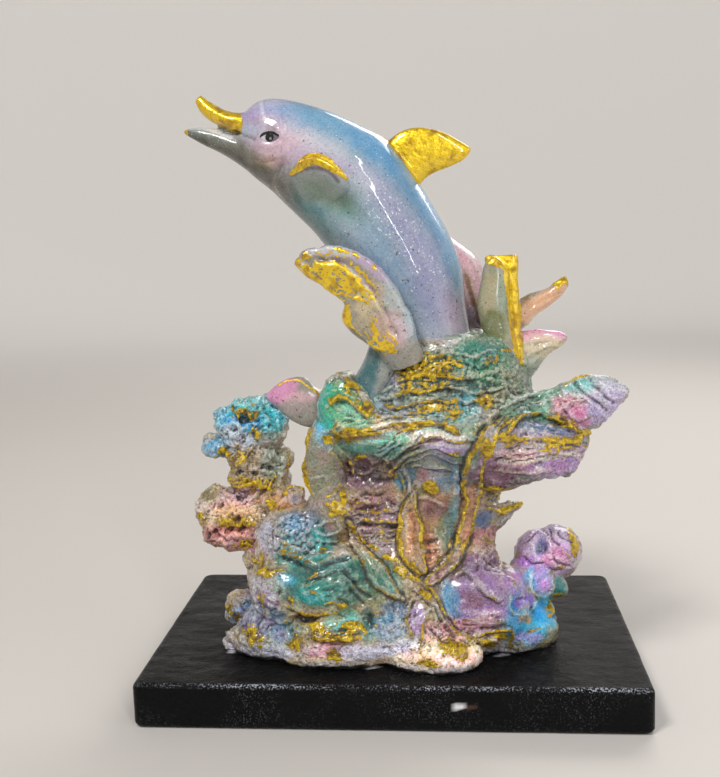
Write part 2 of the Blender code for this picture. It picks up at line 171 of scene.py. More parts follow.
def grains(points: Array, size: float, seed: int = 0) -> Array:
    """Distance from each place to the nearest of the scattered seeds, one in each cell, in cell widths."""
    base = np.floor(points / size).astype(np.int64)
    local = points / size - base
    best = np.full(len(points), 9.0)
    steps = (-1, 0, 1)
    for offset in [(i, j, k) for i in steps for j in steps for k in steps]:
        cell = base + offset
        seat = np.stack([hashed(cell, seed + axis) for axis in range(3)], axis=1) + offset
        best = np.minimum(best, ((seat - local) ** 2).sum(axis=1))
    return np.sqrt(best)


def even(values: Array, limit: float = 2.2) -> Array:
    """Numbers brought to a mean of 0 and a spread of 1, and held within a limit."""
    return np.clip((values - values.mean()) / (values.std() + 1e-9), -limit, limit)


def ease(low: float, high: float, values: Array) -> Array:
    """A smooth step from 0 at low to 1 at high."""
    part = np.clip((values - low) / (high - low), 0, 1)
    return part * part * (3 - 2 * part)


# Forms: each function gives the points and triangles of one closed shape.


def listed(table: str) -> list[Row]:
    """Reads rows of numbers: blanks between numbers and commas between rows."""
    return [tuple(float(word) for word in row.split()) for row in table.split(",")]


def smooth_rows(rows: list[Row], per_span: int) -> Array:
    """Reads a Catmull-Rom curve through given rows.

    Args:
        rows: numbers to carry, a row for each station.
        per_span: samples between one station and the next.

    Returns:
        The sampled rows.
    """
    table = np.asarray(rows, float)
    padded = np.vstack([2 * table[0] - table[1], table, 2 * table[-1] - table[-2]])
    count = len(table) - 1
    p0, p1, p2, p3 = (padded[k:count + k, None] for k in range(4))
    t = (np.arange(per_span) / per_span)[None, :, None]
    curve = 0.5 * (2 * p1 + (p2 - p0) * t + (2 * p0 - 5 * p1 + 4 * p2 - p3) * t ** 2
                   + (3 * p1 - p0 - 3 * p2 + p3) * t ** 3)
    return np.vstack([curve.reshape(-1, table.shape[1]), table[-1]])


def tube_faces(rings: int, sides: int) -> Array:
    """Two triangles between neighbouring ring points, and a fan to a pole at each end."""
    across = np.arange(sides)
    after = (across + 1) % sides
    lower = np.arange(rings - 1)[:, None] * sides
    a, b = lower + across, lower + after
    c, d = b + sides, a + sides
    walls = [np.stack(corners, -1).reshape(-1, 3) for corners in ((a, b, c), (a, c, d))]
    start = np.stack([np.full(sides, rings * sides), after, across], 1)
    last = (rings - 1) * sides
    end = np.stack([np.full(sides, rings * sides + 1), last + across, last + after], 1)
    return np.concatenate([*walls, start, end])


def skin(rows: list[Row], square: float = 2.0) -> Form:
    """A body or blade between two edge curves. The section at each row is an ellipse over the chord from
    one edge to the other: middle + chord * cos + normal * half thickness * sin, with the cosine and the
    sine raised to 2 / square for a fuller oval.

    Args:
        rows: x, y, z of one edge, x, y, z of the other, and the half thickness.
        square: 2 for an ellipse, more for a section nearer a rectangle.

    Returns:
        Points and triangles.
    """
    table = smooth_rows(rows, 12)
    edge_a, edge_b, half = table[:, 0:3], table[:, 3:6], np.maximum(table[:, 6], 0.3)
    middle, chord = (edge_a + edge_b) / 2, (edge_a - edge_b) / 2
    normal = np.cross(chord, np.gradient(middle, axis=0))
    normal /= np.linalg.norm(normal, axis=1, keepdims=True) + 1e-9
    angle = np.arange(BLADE_SIDES) * 2 * math.pi / BLADE_SIDES
    along = np.sign(np.cos(angle)) * np.abs(np.cos(angle)) ** (2 / square)
    out = np.sign(np.sin(angle)) * np.abs(np.sin(angle)) ** (2 / square)
    rings = (middle[:, None] + chord[:, None] * along[None, :, None]
             + (normal * half[:, None])[:, None] * out[None, :, None])
    return np.vstack([rings.reshape(-1, 3), middle[0], middle[-1]]), tube_faces(len(table), BLADE_SIDES)


def flat_skin(rows: list[Row], y: float) -> Form:
    """A skin drawn in one plane of depth y, from x, z of each edge and the half thickness."""
    return skin([(ax, y, az, bx, y, bz, half) for ax, az, bx, bz, half in rows])


def column(levels: list[Row], lobes: float) -> Form:
    """A standing mass: each ring is centre + half size * (cos, sin) * swell, where the swell is one plus
    lobes times two slow waves round and up it.

    Args:
        levels: height, centre x, centre y, half width and half depth.
        lobes: how far the waves stand out, as a share of the radius.

    Returns:
        Points and triangles.
    """
    table = smooth_rows(levels, 10)
    angle = np.arange(COLUMN_SIDES) * 2 * math.pi / COLUMN_SIDES
    z = table[:, 0:1]
    swell = 1 + lobes * (np.sin(3 * angle + z / 23) + 0.6 * np.sin(5 * angle - z / 17 + 1))
    x = table[:, 1:2] + table[:, 3:4] * swell * np.cos(angle)
    y = table[:, 2:3] + table[:, 4:5] * swell * np.sin(angle)
    rings = np.stack([x, y, np.broadcast_to(z, x.shape)], axis=2)
    ends = [(table[0, 1], table[0, 2], table[0, 0]), (table[-1, 1], table[-1, 2], table[-1, 0])]
    return np.vstack([rings.reshape(-1, 3), ends]), tube_faces(len(table), COLUMN_SIDES)


def lump(centre: Row, radii: Row, knobs: float) -> Form:
    """A rounded rock or coral head: a ball scaled to its half sizes and swollen by a cloud of knobs."""
    rings = BLADE_SIDES // 2
    polar = np.linspace(0, math.pi, rings + 2)[1:-1, None]
    angle = np.arange(BLADE_SIDES)[None, :] * 2 * math.pi / BLADE_SIDES
    ball = np.stack([np.sin(polar) * np.cos(angle), np.sin(polar) * np.sin(angle),
                     np.cos(polar) * np.ones_like(angle)], axis=2).reshape(-1, 3)
    ball = np.vstack([ball, (0, 0, 1), (0, 0, -1)])
    shape = ball * np.asarray(radii, float)
    swell = 1 + knobs * cloud(shape + centre, 0.55 * max(radii), 3, 5)[:, None]
    return shape * swell + centre, tube_faces(rings, BLADE_SIDES)


def joined(forms: list[Form]) -> Form:
    """One list of points and one of triangles for several forms."""
    starts = np.cumsum([0] + [len(points) for points, _ in forms])
    return np.vstack([points for points, _ in forms]), np.vstack(
        [faces + start for (_, faces), start in zip(forms, starts)])


# The carved skin and the marks on it.


class Carving:
    """A closed skin that is carved and then painted, point by point."""

    def __init__(self, points: Array, faces: Array, plane: float) -> None:
        """Takes the skin as it was fused.

        Args:
            points: places in drawn units.
            faces: four corners to a face.
            plane: depth of the upright plane on which this piece's marks are drawn.
        """
        self.points = points
        self.faces = faces
        self.plane = plane
        pairs = np.concatenate([np.stack([faces[:, k], faces[:, (k + 1) % 4]], 1) for k in range(4)])
        pairs = np.unique(np.sort(pairs, axis=1), axis=0)
        self.one, self.other = pairs.T
        size = len(points)
        self.links = np.maximum(np.bincount(self.one, minlength=size)
                                + np.bincount(self.other, minlength=size), 1)
        self.colour = np.zeros((size, 3))
        self.gilt = np.zeros(size)
        self.sparkle = np.zeros(size)
        self.look()

    def averaged(self, values: Array, rounds: int, share: float = 0.6) -> Array:
        """Moves each point's numbers towards its neighbours' mean, round after round."""
        flat = values.reshape(len(values), -1)
        size = len(values)
        for _ in range(rounds):
            mean = np.stack([np.bincount(self.one, column[self.other], size)
                             + np.bincount(self.other, column[self.one], size)
                             for column in flat.T], axis=1) / self.links[:, None]
            flat = flat + share * (mean - flat)
        return flat.reshape(values.shape)

    def look(self) -> None:
        """Works out the normals, and where each point is seen on the plane from the view point:
        its ray from there, cut at the plane."""
        corners = self.points[self.faces]
        facing = np.cross(corners[:, 2] - corners[:, 0], corners[:, 3] - corners[:, 1])
        size = len(self.points)
        total = np.stack([sum(np.bincount(self.faces[:, k], facing[:, axis], size) for k in range(4))
                          for axis in range(3)], axis=1)
        self.normals = total / (np.linalg.norm(total, axis=1, keepdims=True) + 1e-12)
        eye = np.array(VIEW_POINT)
        ray = self.points - eye
        share = (self.plane - eye[1]) / ray[:, 1]
        self.seen = (eye + ray * share[:, None])[:, [0, 2]]
        toward = -ray / np.linalg.norm(ray, axis=1, keepdims=True)
        self.front = ease(-0.12, 0.22, (self.normals * toward).sum(axis=1))

    def relax(self, rounds: int) -> None:
        """Smooths the skin without shrinking it: a step towards the mean, then a step back."""
        for _ in range(rounds):
            self.points = self.averaged(self.points, 1, 0.62)
            self.points = self.averaged(self.points, 1, -0.64)
        self.look()

    def raise_by(self, heights: Array) -> None:
        """Moves every point along its normal by its own height."""
        self.points = self.points + self.normals * heights[:, None]
        self.look()

    def bulge(self, rounds: int) -> Array:
        """How far each point stands out of the skin averaged over some rounds: positive on ridges."""
        return ((self.points - self.averaged(self.points, rounds)) * self.normals).sum(axis=1)

    def lay(self, tint: Tint, mask: Array) -> None:
        """Lays a paint over the skin as thickly as the mask says."""
        self.colour += (tint.linear() - self.colour) * mask[:, None]

    def darken(self, mask: Array, lets_by: Row) -> None:
        """Lays a see-through wash that lets by these shares of red, green and blue."""
        self.colour *= 1 - mask[:, None] * (1 - np.array(lets_by))

    def gild(self, amount: Array) -> None:
        """Adds gold where there is less than this."""
        self.gilt = np.maximum(self.gilt, amount)

    def wander(self, size: float, amount: float, seed: int) -> Array:
        """Where each point is seen, moved about by a cloud so that painted edges run free."""
        return self.seen + amount * np.stack([cloud(self.points, size, 3, seed),
                                              cloud(self.points, size, 3, seed + 40)], axis=1)


@dataclass(frozen=True)
class Oval:
    """A soft-edged oval on the plane of the marks."""

    x: float
    z: float
    wide: float
    high: float
    turn: float = 0.0

    def inside(self, places: Array) -> Array:
        """How far each place is inside: 1 at the middle, 0 on the edge, less outside."""
        angle = math.radians(self.turn)
        x, z = places[:, 0] - self.x, places[:, 1] - self.z
        along = (x * math.cos(angle) + z * math.sin(angle)) / self.wide
        across = (z * math.cos(angle) - x * math.sin(angle)) / self.high
        return 1 - np.sqrt(along ** 2 + across ** 2)


def from_route(places: Array, route: list[Row], reach: float) -> tuple[Array, Array, Array]:
    """The nearest point of a smooth line for each place: the least distance over its short pieces.

    Args:
        places: two numbers to a row.
        route: points of the line.
        reach: how far from the line anything is worked out.

    Returns:
        Distance, place along the line from 0 to 1, and the side of the line as 1 or -1.
    """
    line = smooth_rows(route, 8)
    distance = np.full(len(places), 1e6)
    along, side = np.zeros(len(places)), np.ones(len(places))
    low, high = line.min(axis=0) - reach, line.max(axis=0) + reach
    near = np.flatnonzero(((places > low) & (places < high)).all(axis=1))
    if len(near) == 0:
        return distance, along, side
    start, step = line[:-1], np.diff(line, axis=0)
    offset = places[near, None] - start
    t = np.clip((offset * step).sum(axis=2) / ((step ** 2).sum(axis=1) + 1e-9), 0, 1)
    gap = offset - t[..., None] * step
    reached = (gap ** 2).sum(axis=2)
    nearest = reached.argmin(axis=1)
    pick = np.arange(len(near))
    distance[near] = np.sqrt(reached[pick, nearest])
    along[near] = (nearest + t[pick, nearest]) / len(step)
    turn = step[nearest, 0] * offset[pick, nearest, 1] - step[nearest, 1] * offset[pick, nearest, 0]
    side[near] = np.where(turn >= 0, 1.0, -1.0)
    return distance, along, side


@dataclass(frozen=True)
class Ridge:
    """A raised line, or with a negative height a groove, and how much gold lies on it."""

    route: list[Row]
    wide: float
    high: float
    gilt: float = 0.0

    def heights(self, places: Array) -> Array:
        """Height times a bell across the line, thinning to both ends."""
        distance, along, _ = from_route(places, self.route, 2 * self.wide)
        bell = np.exp(-(distance / self.wide) ** 2 * 1.6)
        return self.high * bell * np.minimum(1, 6 * np.sin(math.pi * np.clip(along, 0.02, 0.98)))


@dataclass(frozen=True)
class Lap:
    """The edge of a fold that lies over what is next to it: highest at the line and falling away to its
    left, as the line runs, and cut off sharply to its right."""

    route: list[Row]
    wide: float
    high: float
    gilt: float = 0.0

    def heights(self, places: Array) -> Array:
        """Height times the square of what is left of the width, on one side alone."""
        distance, along, side = from_route(places, self.route, self.wide)
        fall = np.clip(1 - distance / self.wide, 0, 1) ** 2
        lip = ease(-0.9, 0.6, distance * side)
        return self.high * fall * lip * np.minimum(1, 6 * np.sin(math.pi * np.clip(along, 0.02, 0.98)))


@dataclass(frozen=True)
class Frond:
    """A raised strip with gilded lips: a flat body, hollow along its middle, that drops sharply at its
    edges."""

    route: list[Row]
    high: float
    gilt: float = 1.0

    def parts(self, places: Array) -> tuple[Array, Array]:
        """Height and gold for each place.

        Args:
            places: where each point is seen; the route's rows give x, z and the half width there.

        Returns:
            The height, and the gold on the two lips.
        """
        table = smooth_rows(self.route, 8)
        line = [tuple(row[:2]) for row in self.route]
        distance, along, _ = from_route(places, line, 1.4 * table[:, 2].max())
        wide = np.interp(along, np.linspace(0, 1, len(table)), table[:, 2])
        out = distance / wide
        body = ease(1.16, 0.96, out) * (0.55 + 0.45 * np.clip(out, 0, 1) ** 2)
        lips = ease(0.60, 0.78, out) * ease(1.12, 1.02, out)
        return self.high * body, self.gilt * lips


@dataclass(frozen=True)
class Knobs:
    """Close rounded knobs inside an oval, with sharp creases between them."""

    area: Oval
    size: float
    high: float

    def heights(self, places: Array, points: Array) -> Array:
        """Height times the squared distance to the nearest seed, turned over, at two sizes."""
        bend = np.stack([soft_noise(points / self.size, seed) for seed in (5, 6, 7)], axis=1)
        bent = points + 0.25 * self.size * bend
        coarse = 1 - grains(bent, self.size, 41) ** 2 / 0.5
        fine = 1 - grains(bent, 0.47 * self.size, 47) ** 2 / 0.5
        return self.high * (coarse - 0.45 + 0.4 * fine) * ease(0, 0.3, self.area.inside(places))


@dataclass(frozen=True)
class Folds:
    """A field of folds inside an oval: ridged noise stretched along one direction."""

    area: Oval
    turn: float
    length: float
    pitch: float
    deep: float

    def heights(self, places: Array, points: Array) -> Array:
        """Depth times ridged noise of the turned places, scaled by length and pitch."""
        angle = math.radians(self.turn)
        x, z = places[:, 0], places[:, 1]
        sway = 2.2 * soft_noise(points / 13, 71)
        along = (x * math.cos(angle) + z * math.sin(angle)) / self.length
        across = (z * math.cos(angle) - x * math.sin(angle) + sway) / self.pitch
        spread = np.stack([along, across, points[:, 1] / self.length], axis=1)
        rows = crests(spread, 1.0, 3, int(self.pitch * 10))
        return 0.4 * self.deep * even(rows) * ease(0, 0.35, self.area.inside(places))


@dataclass(frozen=True)
class Dab:
    """A patch of one paint inside an oval, and how thickly it is laid."""

    tint: Tint
    area: Oval
    weight: float = 1.0
    round_back: bool = False


@dataclass(frozen=True)
class Stroke:
    """A brushed line of one paint."""

    tint: Tint
    route: list[Row]
    wide: float
    weight: float = 1.0


@dataclass(frozen=True)
class Gild:
    """A patch where gold leaf has caught the high places of the carving."""

    area: Oval
    weight: float = 1.0


@dataclass(frozen=True)
class ToneAndShadeGlaze:
    """A thin see-through wash over an oval: the shares of red, green and blue that it lets by. Below one
    it darkens, mostly as painted shade under overhangs and in recesses; above one it lightens the paint.
    """

    area: Oval
    red: float
    green: float
    blue: float


@dataclass(frozen=True)
class Touch:
    """An oval and how much of something is done inside it."""

    area: Oval
    amount: float


KINDS = {"laps": (Lap, 0), "ridges": (Ridge, 0), "fronds": (Frond, 0), "strokes": (Stroke, 0),
         "folds": (Folds, 4), "knobs": (Knobs, 2), "dabs": (Dab, 1), "gold": (Gild, 1),
         "glazes": (ToneAndShadeGlaze, 3), "hollows": (Touch, 1), "calm": (Touch, 1)}
BACK_TINTS = (Tint.LILAC, Tint.SEA_GREEN, Tint.PEARL, Tint.SKY, Tint.ROSE)
BLOOM_TINTS = (Tint.ROSE, Tint.AQUA, Tint.CREAM, Tint.LILAC, Tint.MAUVE, Tint.GREEN_GREY)
# Shares of red, green and blue let by the washes on hollows and creases: a brown wash that is also painted
# shade.
HOLLOW_WASH_AND_SHADE = (0.42, 0.34, 0.27)
CREASE_WASH_AND_SHADE = (0.20, 0.18, 0.15)
GOLD_WASH = (0.42, 0.27, 0.13)
# How low places are darkened, as dirty paint and as painted shade: rounds of averaging, depth, where it
# begins and is full, and its share.
DIRT_AND_SHADE = ((3, 0.22, 0.2, 2.0, 0.55), (16, 1.3, 0.1, 1.5, 0.7), (45, 2.2, 0.2, 2.2, 0.45))


def fused(forms: list[Form], step: float, plane: float) -> Carving:
    """Fuses overlapping forms into one skin with a voxel remesh, and reads it back as arrays.

    Args:
        forms: closed shapes.
        step: size of the voxels.
        plane: depth of the plane on which this piece's marks are drawn.

    Returns:
        The skin, ready to carve.
    """
    obj = sheet("forms", *joined(forms))
    mesh = obj.data
    fuse = obj.modifiers.new("Fuse", "REMESH")
    fuse.mode = "VOXEL"
    fuse.voxel_size = step
    result = bpy.data.meshes.new_from_object(obj.evaluated_get(bpy.context.evaluated_depsgraph_get()))
    places = np.empty(len(result.vertices) * 3, np.float32)
    result.vertices.foreach_get("co", places)
    corners = np.empty(len(result.loops), np.int32)
    result.loops.foreach_get("vertex_index", corners)
    bpy.data.objects.remove(obj)
    bpy.data.meshes.remove(mesh)
    bpy.data.meshes.remove(result)
    carving = Carving(places.reshape(-1, 3).astype(float), corners.reshape(-1, 4).astype(np.int64), plane)
    carving.relax(2)
    return carving


@dataclass
class Marks:
    """What is carved into one piece and painted on it.

    Carving: press is the strength of laid lines, uneven their unevenness and melt the rounds of averaging
    that melt forms into each other; crag, rough, wrinkle and pits are depths, from large to small, and
    back_folds is the depth of the folds behind. Paint: paint_run and soft say how far edges wander and how
    softly they end, bloom how much of other tints shows, vivid and deepen how strong and dark colours
    are, chalk how pale high places are, as dry-brushed white and painted highlight,
    umber how dark low places and creases are, as a brown wash and painted shade, behind how
    thick the washes at the back are, ridge_gold how much leaf lies on high places and grime how
    much low ones are darkened, as dirty paint and painted shade.
    """

    laps: list[Lap] = field(default_factory=list)
    ridges: list[Ridge] = field(default_factory=list)
    folds: list[Folds] = field(default_factory=list)
    fronds: list[Frond] = field(default_factory=list)
    knobs: list[Knobs] = field(default_factory=list)
    hollows: list[Touch] = field(default_factory=list)
    calm: list[Touch] = field(default_factory=list)
    dabs: list[Dab] = field(default_factory=list)
    strokes: list[Stroke] = field(default_factory=list)
    gold: list[Gild] = field(default_factory=list)
    glazes: list[ToneAndShadeGlaze] = field(default_factory=list)
    press: float = 1.0
    melt: int = 0
    crag: float = 0.0
    crag_size: float = 17.0
    rough: float = 0.5
    rough_size: float = 7.0
    pits: float = 0.0
    back_folds: float = 1.0
    ridge_gold: float = 0.0
    grime: float = 0.5
    paint_run: float = 2.4
    soft: float = 1.0
    bloom: float = 0.0
    deepen: float = 1.0
    vivid: float = 1.0
    chalk: float = 0.0
    umber: float = 0.0
    uneven: float = 0.45
    wrinkle: float = 0.0
    behind: float = 0.0

    @classmethod
    def read(cls, sheet_text: str, **settings: float) -> "Marks":
        """Reads a sheet of marks. A line that ends in a colon names the kind of those under it; each other
        line has the tint, if it takes one, then the numbers of its oval and of the mark, or the numbers
        of the mark, a bar and the points of its route.

        Args:
            sheet_text: the lines.
            settings: how this piece is carved and painted.

        Returns:
            The marks.
        """
        marks, kind = cls(**settings), ""
        for line in filter(None, sheet_text.split("\n")):
            if line.endswith(":"):
                kind = line[:-1]
                continue
            sizes, _, route = line.partition(" | ")
            words = sizes.split()
            tint = [Tint[words.pop(0).upper()]] if kind in ("dabs", "strokes") else []
            round_back = [words.pop() == "round"] if words[-1] == "round" else []
            numbers = [float(word) for word in words]
            make, own = KINDS[kind]
            if route:
                place = listed(route)
            else:
                place, numbers = Oval(*numbers[:-own]), numbers[-own:]
            getattr(marks, kind).append(make(*tint, place, *numbers, *round_back))
        return marks

    def carve(self, skin_: Carving) -> None:
        """Carves the skin. Its forms are first melted into each other and broken by crags; then come broad
        hollows, folds and laid lines, and last grain and pits. Heights are added up and moved along the
        normals."""
        if self.melt:
            skin_.points = skin_.averaged(skin_.points, self.melt)
            skin_.look()
        broken = np.zeros(len(skin_.points))
        if self.crag:
            bend = [cloud(skin_.points, 1.6 * self.crag_size, 2, 90 + k) for k in range(3)]
            bent = skin_.points + 0.4 * self.crag_size * np.stack(bend, axis=1)
            rock = even(crests(bent, self.crag_size, 4, 19) + 0.12 * cloud(skin_.points, 30.0, 2, 15))
            broken += self.crag * np.maximum(rock, -1.3 + 0.15 * rock)
        for patch in self.knobs:
            broken += patch.heights(skin_.seen, skin_.points)
        still = np.ones(len(broken))
        for touch in self.calm:
            still *= 1 - touch.amount * ease(0, 0.3, touch.area.inside(skin_.seen)) * skin_.front
        skin_.raise_by(broken * still)
        hollow = np.zeros(len(skin_.points))
        for touch in self.hollows:
            hollow -= touch.amount * ease(0, 0.8, touch.area.inside(skin_.seen))
        skin_.raise_by(hollow * skin_.front)
        places = skin_.wander(9.0, 1.5, 7)
        broken_leaf = ease(-0.75, 0.05, cloud(skin_.points, 4.5, 3, 91))
        drawn = sum((fold.heights(places, skin_.points) for fold in self.folds), np.zeros(len(places)))
        laid = np.zeros(len(places))
        uneven = 1 + self.uneven * cloud(skin_.points, 6.0, 3, 67)
        for mark in [*self.laps, *self.ridges]:
            height = mark.heights(places) * uneven
            laid = np.where(np.abs(height) > np.abs(laid), height, laid)
            if mark.gilt:
                share = np.abs(height) / abs(mark.high) - 0.6 * self.uneven * (1 - uneven)
                skin_.gild(mark.gilt * ease(0.56, 0.9, share) * skin_.front * broken_leaf)
        for frond in self.fronds:
            height, gold = frond.parts(places)
            laid = np.where(height > 0.2, height * uneven + 0.3 * laid, laid)
            skin_.gilt = np.maximum(skin_.gilt * (height < 0.2), gold * skin_.front * broken_leaf)
        around = skin_.points * (1 / 16, 1 / 16, 1 / 5.5)
        back = self.back_folds * (crests(around, 1.0, 3, 5) - 0.5) * (1 - skin_.front)
        skin_.raise_by((drawn + self.press * laid) * skin_.front + back)
        grain = self.rough * cloud(skin_.points, self.rough_size, 4, 11)
        if self.wrinkle:
            bent = skin_.points + 1.5 * cloud(skin_.points, 9.0, 2, 35)[:, None]
            grain += self.wrinkle * even(crests(bent * (1, 1, 1.6), 6.5, 3, 13))
        if self.pits:
            grain -= self.pits * ease(0.30, 0.08, grains(skin_.points, 5.2, 3)) * ease(
                0.0, 0.5, cloud(skin_.points, 13.0, 2, 12))
        skin_.raise_by(grain * np.maximum(still, 0.4))

    def paint(self, skin_: Carving, ground: Tint) -> None:
        """Paints the skin: a ground, patches and strokes with wandering edges, washes at the back, a bloom
        of other tints, pale high places as dry-brushed white and painted highlight, dark low places and
        creases as a brown wash and painted shade, darkening and lightening washes over ovals, much of it
        painted shade, then gold with a brown wash beside it. Marks fade where the skin turns from the front,
        apart from those laid all round."""
        skin_.colour = np.tile(ground.linear(), (len(skin_.points), 1))
        places = skin_.wander(12.0, self.paint_run, 23)
        ragged = 0.22 * cloud(skin_.points, 4.0, 3, 31)
        for dab in self.dabs:
            inside = dab.area.inside(places) + ragged / self.soft
            mask = ease(0.13 - 0.21 * self.soft, 0.13 + 0.21 * self.soft, inside) * dab.weight
            mask = mask * (1.0 if dab.round_back else skin_.front)
            skin_.lay(dab.tint, mask)
        for stroke in self.strokes:
            distance, _, _ = from_route(skin_.seen, stroke.route, 2.5 * stroke.wide)
            mask = ease(1.25, 0.45, distance / stroke.wide + ragged) * stroke.weight * skin_.front
            skin_.lay(stroke.tint, mask)
        for seed, tint in enumerate(BACK_TINTS):
            wash = ease(0.0, 0.45, cloud(skin_.points, 26.0, 3, 201 + seed)) * (1 - skin_.front)
            skin_.lay(tint, self.behind * wash)
        for seed, tint in enumerate(BLOOM_TINTS):
            mask = self.bloom * ease(0.15, 0.75, cloud(skin_.points, 7.0 + seed, 4, 101 + seed))
            skin_.lay(tint, mask)
        grey = skin_.colour.mean(axis=1, keepdims=True)
        skin_.colour = np.clip(grey + self.vivid * (skin_.colour - grey), 0.004, 1.0) ** self.deepen
        fine, broad = skin_.bulge(2), skin_.bulge(9)
        stand = np.clip(0.5 * fine / (fine.std() + 1e-6) + 0.5 * broad / (broad.std() + 1e-6), -2, 2)
        swell = broad / (broad.std() + 1e-6)
        # Pale high places: dry-brushed white that also stands as painted highlight on the ridges.
        high = self.chalk * ease(0.2, 1.6, swell + 0.25 * stand + 0.7 * cloud(skin_.points, 9.0, 3, 57))
        skin_.lay(Tint.WHITE, high)
        # Dark low places: a brown wash that also stands as painted shade in the hollows.
        low = self.umber * ease(0.3, 1.6, 0.5 * cloud(skin_.points, 12.0, 3, 58) - stand)
        skin_.darken(low, HOLLOW_WASH_AND_SHADE)
        # Dark creases: painted shade laid in the creases over a dark wash.
        crease = 1.25 * self.umber * ease(0.85, 1.8, -0.8 * fine / (fine.std() + 1e-6) - 0.3 * swell)
        skin_.darken(np.clip(crease, 0, 0.85), CREASE_WASH_AND_SHADE)
        # Darkening washes over ovals: mostly painted shade under overhangs and in recesses; the lightening
        # ones raise the paint's tone.
        for tone_and_shade_glaze in self.glazes:
            mask = ease(-0.25, 0.5, tone_and_shade_glaze.area.inside(places) + ragged) * skin_.front
            skin_.darken(mask, (tone_and_shade_glaze.red, tone_and_shade_glaze.green, tone_and_shade_glaze.blue))
        for patch in self.gold:
            mask = ease(0.10, 0.34, 0.8 * patch.area.inside(places) + 1.2 * ragged + 0.25 * stand)
            skin_.gild(patch.weight * mask * skin_.front)
        if self.ridge_gold:
            rare = 0.5 * self.behind * (1 - skin_.front)
            catch = ease(1.5, 2.3, stand + rare + 2.2 * cloud(skin_.points, 24.0, 3, 53))
            skin_.gild(self.ridge_gold * catch)
        wash = np.clip(1.6 * skin_.averaged(skin_.gilt, 5), 0, 1) * 0.55 * (self.grime > 0.85)
        skin_.darken(wash, GOLD_WASH)


def sheet(name: str, points: Array, faces: list | Array) -> bpy.types.Object:
    """A mesh object in the scene from points in metres and faces."""
    mesh = bpy.data.meshes.new(name)
    mesh.from_pydata(points.tolist(), [], faces.tolist() if isinstance(faces, np.ndarray) else faces)
    obj = bpy.data.objects.new(name, mesh)
    bpy.context.scene.collection.objects.link(obj)
    return obj


def turned_out(obj: bpy.types.Object) -> None:
    """Turns every face of a closed object outward."""
    work = bmesh.new()
    work.from_mesh(obj.data)
    bmesh.ops.recalc_face_normals(work, faces=work.faces[:])
    work.to_mesh(obj.data)
    work.free()


def dressed(obj: bpy.types.Object, material: bpy.types.Material) -> None:
    """Gives an object smooth faces and its finish, and reports it."""
    obj.data.polygons.foreach_set("use_smooth", np.ones(len(obj.data.polygons), bool))
    obj.data.materials.append(material)
    LOG.info("%s: %d faces", obj.name, len(obj.data.polygons))


def written(obj: bpy.types.Object, name: str, colours: Array) -> None:
    """Writes a colour of four channels to each point under a name."""
    made = obj.data.attributes.new(name, "FLOAT_COLOR", "POINT")
    made.data.foreach_set("color", colours.ravel())


def cut_flat(mesh: bpy.types.Mesh, height: float) -> None:
    """Cuts a mesh flat at a height and closes the cut."""
    work = bmesh.new()
    work.from_mesh(mesh)
    geometry = work.verts[:] + work.edges[:] + work.faces[:]
    bmesh.ops.bisect_plane(work, geom=geometry, plane_co=(0, 0, height), plane_no=(0, 0, -1),
                           clear_outer=True)
    rim = [edge for edge in work.edges if edge.is_boundary]
    if rim:
        bmesh.ops.triangle_fill(work, use_beauty=True, edges=rim)
    work.to_mesh(mesh)
    work.free()


@dataclass
class Seat:
    """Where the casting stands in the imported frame, and the size of a drawn unit there."""

    base: float
    share: float
    middle: tuple[float, float]

    @classmethod
    def from_frame(cls) -> "Seat":
        """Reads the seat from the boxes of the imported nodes."""
        low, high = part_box("dolphin_cast")
        board_low, board_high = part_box("plinth")
        middle = ((board_low[0] + board_high[0]) / 2, (board_low[1] + board_high[1]) / 2)
        return cls(low[2], (high[2] - low[2]) / DRAWN_TOP, middle)

    def place(self, points: Array) -> Array:
        """Drawn units to metres in the frame."""
        return points * self.share + np.array([*self.middle, self.base])

    def piece(self, name: str, skin_: Carving, material: bpy.types.Material,
              marks: Marks, foot: bool = False) -> bpy.types.Object:
        """Makes a finished piece of a carved and painted skin.

        Args:
            name: the piece's name.
            skin_: the skin.
            material: its finish.
            marks: gives how much the low places are darkened, as dirty paint and painted shade.
            foot: whether the piece stands on the board and is cut flat there.

        Returns:
            The object, riding on the root body in place of the casting's solid.
        """
        obj = sheet(name, self.place(skin_.points), skin_.faces)
        # Darkness of low places for the coats' second channel: dirty paint and painted shade in the
        # recesses.
        low = sum(share * ease(start, full, -skin_.bulge(rounds) / depth)
                  for rounds, depth, start, full, share in DIRT_AND_SHADE)
        size = len(skin_.points)
        written(obj, "paint", np.hstack([skin_.colour, np.ones((size, 1))]))
        written(obj, "coats", np.stack([skin_.gilt, np.clip(low, 0, 1) * marks.grime, skin_.sparkle,
                                        np.ones(size)], 1))
        if foot:
            cut_flat(obj.data, self.base)
        dressed(obj, material)
        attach(obj, "root")
        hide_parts("dolphin_cast")
        return obj


# Finishes.


